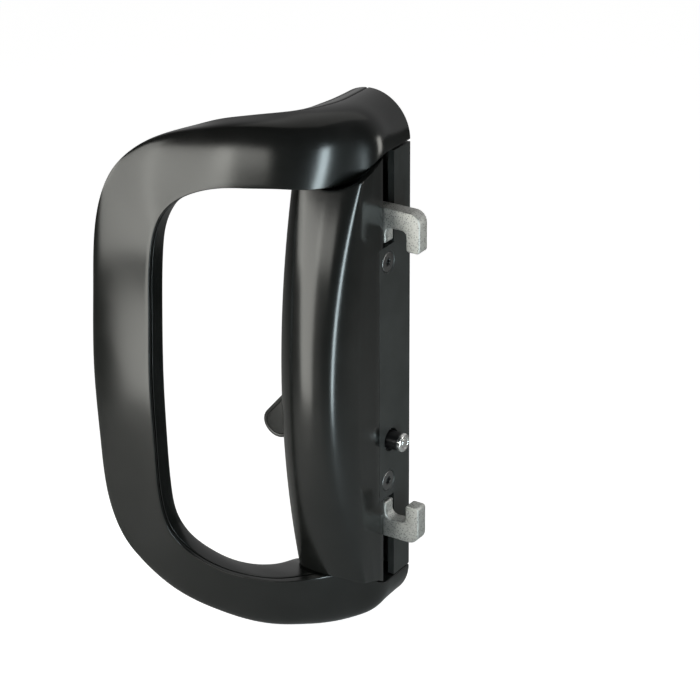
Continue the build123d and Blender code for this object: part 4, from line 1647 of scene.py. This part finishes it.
@dataclass
class Lever:
    """Thumb lever: one thick tongue from the hub through the casing's slot, with a rounded end.

    Attributes:
        rest: Degrees below level at rest.
        depth: Y of its back and front face.
        rounding: Rounding of the rims.
        dish: Width of the front face's border and depth of the dish inside it.
        peg: Distance of the peg from the spindle, its radius, and Y of its tip.
        tongue: Corners along and across the lever, each with its radius.
    """

    rest: float = 45.0
    depth: tuple[float, float] = (-27.8, -33.2)
    rounding: float = 0.8
    dish: tuple[float, float] = (1.5, 0.35)
    peg: tuple[float, float, float] = (6.2, 1.1, -34.9)
    tongue: Rail = field(default_factory=lambda: [
        (-8, -7.6, 7), (10, -6.4, 6), (44.4, -6, 5.4), (43.9, 4.1, 4.6), (10, 6.7, 6), (-8, 7.6, 7),
    ])

    def turned(self, outline: np.ndarray) -> np.ndarray:
        """Turns an outline drawn along the arm to its rest angle: out to -X and down.

        Args:
            outline: Distances along the arm and across it.

        Returns:
            X and Z of each point.
        """
        angle = math.radians(self.rest)
        along, across = outline[:, 0], outline[:, 1]
        return np.stack([-along * math.cos(angle) - across * math.sin(angle),
                         -along * math.sin(angle) + across * math.cos(angle)], axis=1)

    def peg_surface(self) -> Surface:
        """Round peg in front of the hub, opposite the tongue, which carries the snap spring's eye.

        Returns:
            Vertices and faces.
        """
        reach, radius, tip = self.peg
        turn = np.linspace(0, 2 * np.pi, 32, endpoint=False)
        circle = np.column_stack([radius * np.cos(turn) - reach, radius * np.sin(turn)])
        sunk = 0.5
        return plate_surface(self.turned(circle), (self.depth[1] + sunk, tip), rounding=0.15)

    def build(self, paint: bpy.types.Material) -> None:
        """Makes the lever as one rounded tongue with its hub and peg.

        Args:
            paint: Finish.
        """
        outline = self.turned(rounded_outline(self.tongue, steps=10))
        tongue = plate_surface(outline, self.depth, self.rounding, steps=6, dish=self.dish)
        surface = joined([tongue, self.peg_surface()])
        piece = make_piece("thumb_lever", *surface, Body.LEVER, "satin_black_lever", paint)
        keep_sharp(piece)
        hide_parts("snib_lever")


# Springs


@dataclass
class PlungerSpring:
    """Compression spring round the plunger's stem, made at one fixed length.

    Attributes:
        centre: Y and Z of the axis.
        floor_x: X of the surface that it stands on; not used.
        ends: X of the wire's middle at both ends.
        radius: Radius of the helix.
        wire: Radius of the wire.
        turns: Number of turns.
        travel: How far the plunger goes in; not used.
        rings: Sections along the wire.
        around: Points in each section.
    """

    centre: tuple[float, float]
    floor_x: float = -5.0
    ends: tuple[float, float] = (-4.6, 8.6)
    radius: float = 2.9
    wire: float = 0.35
    turns: float = 4.0
    travel: float = 6.5
    rings: int = 193
    around: int = 12

    def surface(self) -> Surface:
        """Round wire along a helix.

        The wire's middle is (x, cy + R cos a, cz + R sin a) with x rising evenly with the angle a.
        A surface point lies one wire radius from it, turned by u from the helix's outward direction
        towards the direction square to both that and the wire.

        Returns:
            Vertices and faces.
        """
        angle = np.linspace(0, 2 * np.pi * self.turns, self.rings)
        zero = np.zeros(self.rings)
        outward = np.stack([zero, np.cos(angle), np.sin(angle)], axis=1)
        rise = (self.ends[1] - self.ends[0]) / (2 * np.pi * self.turns)
        along = np.stack([zero + rise, -self.radius * np.sin(angle), self.radius * np.cos(angle)], axis=1)
        along /= np.linalg.norm(along, axis=1, keepdims=True)
        square = np.cross(along, outward)
        axis = np.stack([np.linspace(*self.ends, self.rings), zero + self.centre[0],
                         zero + self.centre[1]], axis=1)
        middle = axis + outward * self.radius
        turn = np.linspace(0, 2 * np.pi, self.around, endpoint=False)[None, :, None]
        section = np.cos(turn) * outward[:, None] + np.sin(turn) * square[:, None]
        vertices = middle[:, None] + self.wire * section
        return vertices.reshape(-1, 3), closed_tube(self.rings, self.around)

    def build(self, steel: bpy.types.Material) -> None:
        """Makes the spring.

        Args:
            steel: Finish.
        """
        piece = make_piece("plunger_coil", *self.surface(), Body.LOCK, "spring_steel", steel)
        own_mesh(piece)
        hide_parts("plunger_spring")


@dataclass
class SnapSpring:
    """Hairpin spring from the casting's post to the lever's peg, in its node's own shape.

    Attributes:
        lever: The lever that carries its outer eye; not used.
        post: X and Z of the post; not used.
        y: Y of both eyes; not used.
    """

    lever: Lever
    post: tuple[float, float] = (13.5, 0.0)
    y: float = -33.9

    def build(self, steel: bpy.types.Material) -> None:
        """Makes the spring from its node's own shape, merged.

        Args:
            steel: Finish.
        """
        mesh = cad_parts["snap_spring"].data.copy()
        shape = bmesh.new()
        shape.from_mesh(mesh)
        bmesh.ops.remove_doubles(shape, verts=shape.verts, dist=1e-7)
        shape.to_mesh(mesh)
        shape.free()
        mesh.materials.clear()
        mesh.materials.append(steel)
        piece = bpy.data.objects.new("hairpin_spring", mesh)
        bpy.context.scene.collection.objects.link(piece)
        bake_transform(piece)
        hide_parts("snap_spring")
        log.info("hairpin_spring: %d vertices", len(mesh.vertices))


# Pieces that keep their CAD shape


@dataclass
class Bench:
    """The nodes whose own shape is shown, each with its finish."""

    finishes: dict[str, bpy.types.Material]

    def dress(self) -> None:
        """Assigns each kept node its material."""
        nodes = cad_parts
        for name, material in self.finishes.items():
            mesh = nodes[name].data
            if not mesh.materials:
                mesh.materials.append(material)
            mesh.materials[0] = material
            log.info("%s: keeps its own shape", name)


# Studio


@dataclass(frozen=True)
class Lamp:
    """Rectangular soft lamp that the camera doesn't see.

    Attributes:
        name: Name of the lamp.
        place: Where it stands, in millimetres.
        size: Width and height in millimetres.
        radiance: Brightness of its face, where 1 is a white surface in full light.
        tint: Colour.
    """

    name: str
    place: Point
    size: tuple[float, float]
    radiance: float
    tint: Colour = (1.0, 1.0, 0.94)

    def build(self, target: Point) -> None:
        """Makes the lamp, turned to a point.

        A flat lamp of radiance L and area A gives pi L A watts.

        Args:
            target: Point that it faces, in millimetres.
        """
        data = bpy.data.lights.new(self.name, "AREA")
        data.shape = "RECTANGLE"
        data.size, data.size_y = self.size[0] * MM, self.size[1] * MM
        data.energy = math.pi * self.radiance * data.size * data.size_y
        data.color = self.tint
        lamp = bpy.data.objects.new(self.name, data)
        way = Vector(self.place) - Vector(target)
        turn = way.to_track_quat("Z", "Y").to_matrix().to_4x4()
        lamp.matrix_world = Matrix.Translation(Vector(self.place) * MM) @ turn
        lamp.visible_camera = False
        bpy.context.scene.collection.objects.link(lamp)


@dataclass
class Studio:
    """Camera of the photograph, pale floor, and soft lamps.

    Attributes:
        azimuth: Degrees that the camera stands to the right of the user's side.
        elevation: Degrees that it looks down.
        roll: Degrees that it is turned about its own axis.
        distance: Distance in millimetres.
        focal_pixels: Focal length in pixels of the photograph.
        picture: Width of the photograph in pixels.
        sensor: Width of the camera's sensor in millimetres.
        aim: How far the camera is moved to its right and up, in millimetres.
        floor_z: Height of the floor.
        floor_reach: Half of the floor's side in metres.
        floor_grey: Colour of the floor.
        floor_seen: Brightness of the floor for camera rays and for glossy rays.
        ambient: Strength of the grey ambient light.
        target: Point that the lamps face.
        lamps: The lamps.
    """

    azimuth: float = 32.63
    elevation: float = 24.58
    roll: float = -0.36
    distance: float = 1200.0
    focal_pixels: float = 2793.74
    picture: float = 700.0
    sensor: float = 36.0
    aim: tuple[float, float] = (-9.35, -0.27)
    floor_z: float = -118.6
    floor_reach: float = 6.0
    floor_grey: Colour = (0.5, 0.5, 0.5)
    floor_seen: tuple[float, float] = (0.92, 0.03)
    ambient: float = 0.09
    target: Point = (-25.0, -35.0, 0.0)
    lamps: tuple[Lamp, ...] = (
        Lamp("front_panel", (-124, -262, -4), (164, 224), 5.0),
        Lamp("corner_panel", (-217, -218, 74), (60, 132), 4.2),
        Lamp("upper_panel", (0, -440, 84), (230, 78), 4.0),
        Lamp("side_strip", (224, -146, -3), (44, 226), 17.5, (0.8, 0.95, 1.0)),
        Lamp("rim_panel", (370, 120, 80), (110, 160), 6.5),
        Lamp("top_panel", (0, 250, 1250), (1300, 1000), 0.42),
    )

    def axes(self) -> tuple[Vector, Vector, Vector]:
        """The camera's right, up and backward directions before its roll.

        Returns:
            The three directions.
        """
        a, e = math.radians(self.azimuth), math.radians(self.elevation)
        right = Vector((math.cos(a), math.sin(a), 0))
        up = Vector((-math.sin(a) * math.sin(e), math.cos(a) * math.sin(e), math.cos(e)))
        back = Vector((math.sin(a) * math.cos(e), -math.cos(a) * math.cos(e), math.sin(e)))
        return right, up, back

    def camera(self) -> None:
        """Makes the camera that frames the lock as the photograph does."""
        right, up, back = self.axes()
        lens = bpy.data.cameras.new("photo_camera")
        lens.sensor_width = self.sensor
        lens.lens = self.focal_pixels * self.sensor / self.picture
        lens.clip_start, lens.clip_end = 0.05, 50.0
        camera = bpy.data.objects.new("photo_camera", lens)
        place = right * self.aim[0] + up * self.aim[1] + back * self.distance
        turn = Matrix((right, up, back)).transposed() @ Matrix.Rotation(math.radians(self.roll), 3, "Z")
        camera.matrix_world = Matrix.Translation(place * MM) @ turn.to_4x4()
        bpy.context.scene.collection.objects.link(camera)
        bpy.context.scene.camera = camera

    def seen(self, tree: bpy.types.NodeTree, direct: float, mirrored: Socket | float) -> Socket:
        """Extra brightness for the rays that show the background.

        Args:
            tree: Node tree of the floor or the world.
            direct: Value for camera and transmission rays.
            mirrored: Value or socket for glossy rays.

        Returns:
            The socket with the sum.
        """
        path = tree.nodes.new("ShaderNodeLightPath").outputs
        through = arithmetic(tree, "MAXIMUM", path["Is Camera Ray"], path["Is Transmission Ray"])
        through = arithmetic(tree, "MULTIPLY", through, direct)
        glossy = arithmetic(tree, "MULTIPLY", path["Is Glossy Ray"], mirrored)
        return arithmetic(tree, "ADD", through, glossy)

    def floor(self) -> None:
        """Makes a plain pale floor that shows white and keeps a soft shadow."""
        reach, z = self.floor_reach, self.floor_z * MM
        mesh = bpy.data.meshes.new("floor")
        mesh.from_pydata([(-reach, -reach, z), (reach, -reach, z), (reach, reach, z), (-reach, reach, z)],
                         [], [(0, 1, 2, 3)])
        material = bpy.data.materials.new("pale_floor")
        material.use_nodes = True
        tree = material.node_tree
        shader = tree.nodes["Principled BSDF"]
        shader.inputs["Base Color"].default_value = (*self.floor_grey, 1.0)
        shader.inputs["Roughness"].default_value = 0.9
        shader.inputs["Specular IOR Level"].default_value = 0.0
        shader.inputs["Emission Color"].default_value = (1.0, 1.0, 1.0, 1.0)
        tree.links.new(self.seen(tree, *self.floor_seen), shader.inputs["Emission Strength"])
        mesh.materials.append(material)
        floor = bpy.data.objects.new("floor", mesh)
        bpy.context.scene.collection.objects.link(floor)

    def world(self) -> None:
        """White backdrop behind the lock, a dim room in front of it, and plain grey ambient light.

        For glossy rays the strength rises smoothly with the direction's Y: dim towards the user's
        side, white behind the lock.
        """
        world = bpy.data.worlds.new("studio")
        world.use_nodes = True
        tree = world.node_tree
        background = tree.nodes["Background"]
        place = tree.nodes.new("ShaderNodeTexCoord")
        split = tree.nodes.new("ShaderNodeSeparateXYZ")
        tree.links.new(place.outputs["Generated"], split.inputs[0])
        fade = tree.nodes.new("ShaderNodeMapRange")
        fade.interpolation_type = "SMOOTHSTEP"
        for label, value in (("From Min", -0.2), ("From Max", 0.7), ("To Min", 0.0), ("To Max", 0.45)):
            fade.inputs[label].default_value = value
        tree.links.new(split.outputs["Y"], fade.inputs["Value"])
        extra = self.seen(tree, 1.0 - self.ambient, fade.outputs["Result"])
        tree.links.new(arithmetic(tree, "ADD", extra, self.ambient), background.inputs["Strength"])
        background.inputs["Color"].default_value = (1.0, 1.0, 1.0, 1.0)
        bpy.context.scene.world = world

    def build(self) -> None:
        """Sets the stage."""
        self.camera()
        self.floor()
        self.world()
        for lamp in self.lamps:
            lamp.build(self.target)
        bpy.context.scene.view_settings.view_transform = "Standard"


def main() -> None:
    """Builds the studio, the visible pieces and the finishes of the kept nodes."""
    logging.basicConfig(level=logging.INFO, format="%(name)s: %(message)s")
    Studio().build()
    coat = SatinPaint("satin_black").material()
    plate = SatinPaint("satin_black_plate", (0.02, 0.021, 0.02), (0.028, 0.029, 0.028), (0.38, 0.46),
                       shine=0.3).material()
    screw = DrawnMetal("black_zinc", (0.2, 0.2, 0.2), (0.28, 0.4)).material()
    sinter = SinteredSteel("sintered_steel").material()
    plunger = Plunger()
    axis = (0.0, *plunger.centre)
    bright = TurnedMetal("turned_steel", axis).material()
    oxide = TurnedMetal("dark_oxide", axis, (0.05, 0.05, 0.052), (0.3, 0.4)).material()
    zinc = DrawnMetal("zinc_plate", (0.66, 0.66, 0.63)).material()
    gear = DrawnMetal("gear_steel", (0.4, 0.4, 0.41)).material()
    brass = DrawnMetal("turned_brass", (0.72, 0.56, 0.28)).material()
    spring = DrawnMetal("spring_wire", (0.45, 0.45, 0.46), (0.2, 0.3)).material()
    casting = CastMetal("zinc_casting").material()
    screws = ShellScrews()
    screws.build(zinc)
    Pull().build(coat, screws)
    Casing().build(coat)
    Hook(End.UPPER, Body.UPPER).build(sinter)
    Hook(End.LOWER, Body.LOWER).build(sinter)
    plunger.build(bright, oxide)
    EdgeScrews().build(screw)
    lever = Lever()
    lever.build(coat)
    PlungerSpring(plunger.centre).build(spring)
    SnapSpring(lever).build(spring)
    Bench({
        "base_frame": plate, "mechanism_chassis": casting, "guide_plate": zinc, "guide_screws": zinc,
        "front_bush": brass, "pinion": gear, "spindle": gear, "lever_screw": screw,
        "upper_slide": zinc, "lower_slide": zinc, "upper_rivets": zinc, "lower_rivets": zinc,
        "plunger_clip": spring, "handle_screws": zinc, "cover_screws": zinc,
    }).dress()


if __name__ == "__main__":
    main()
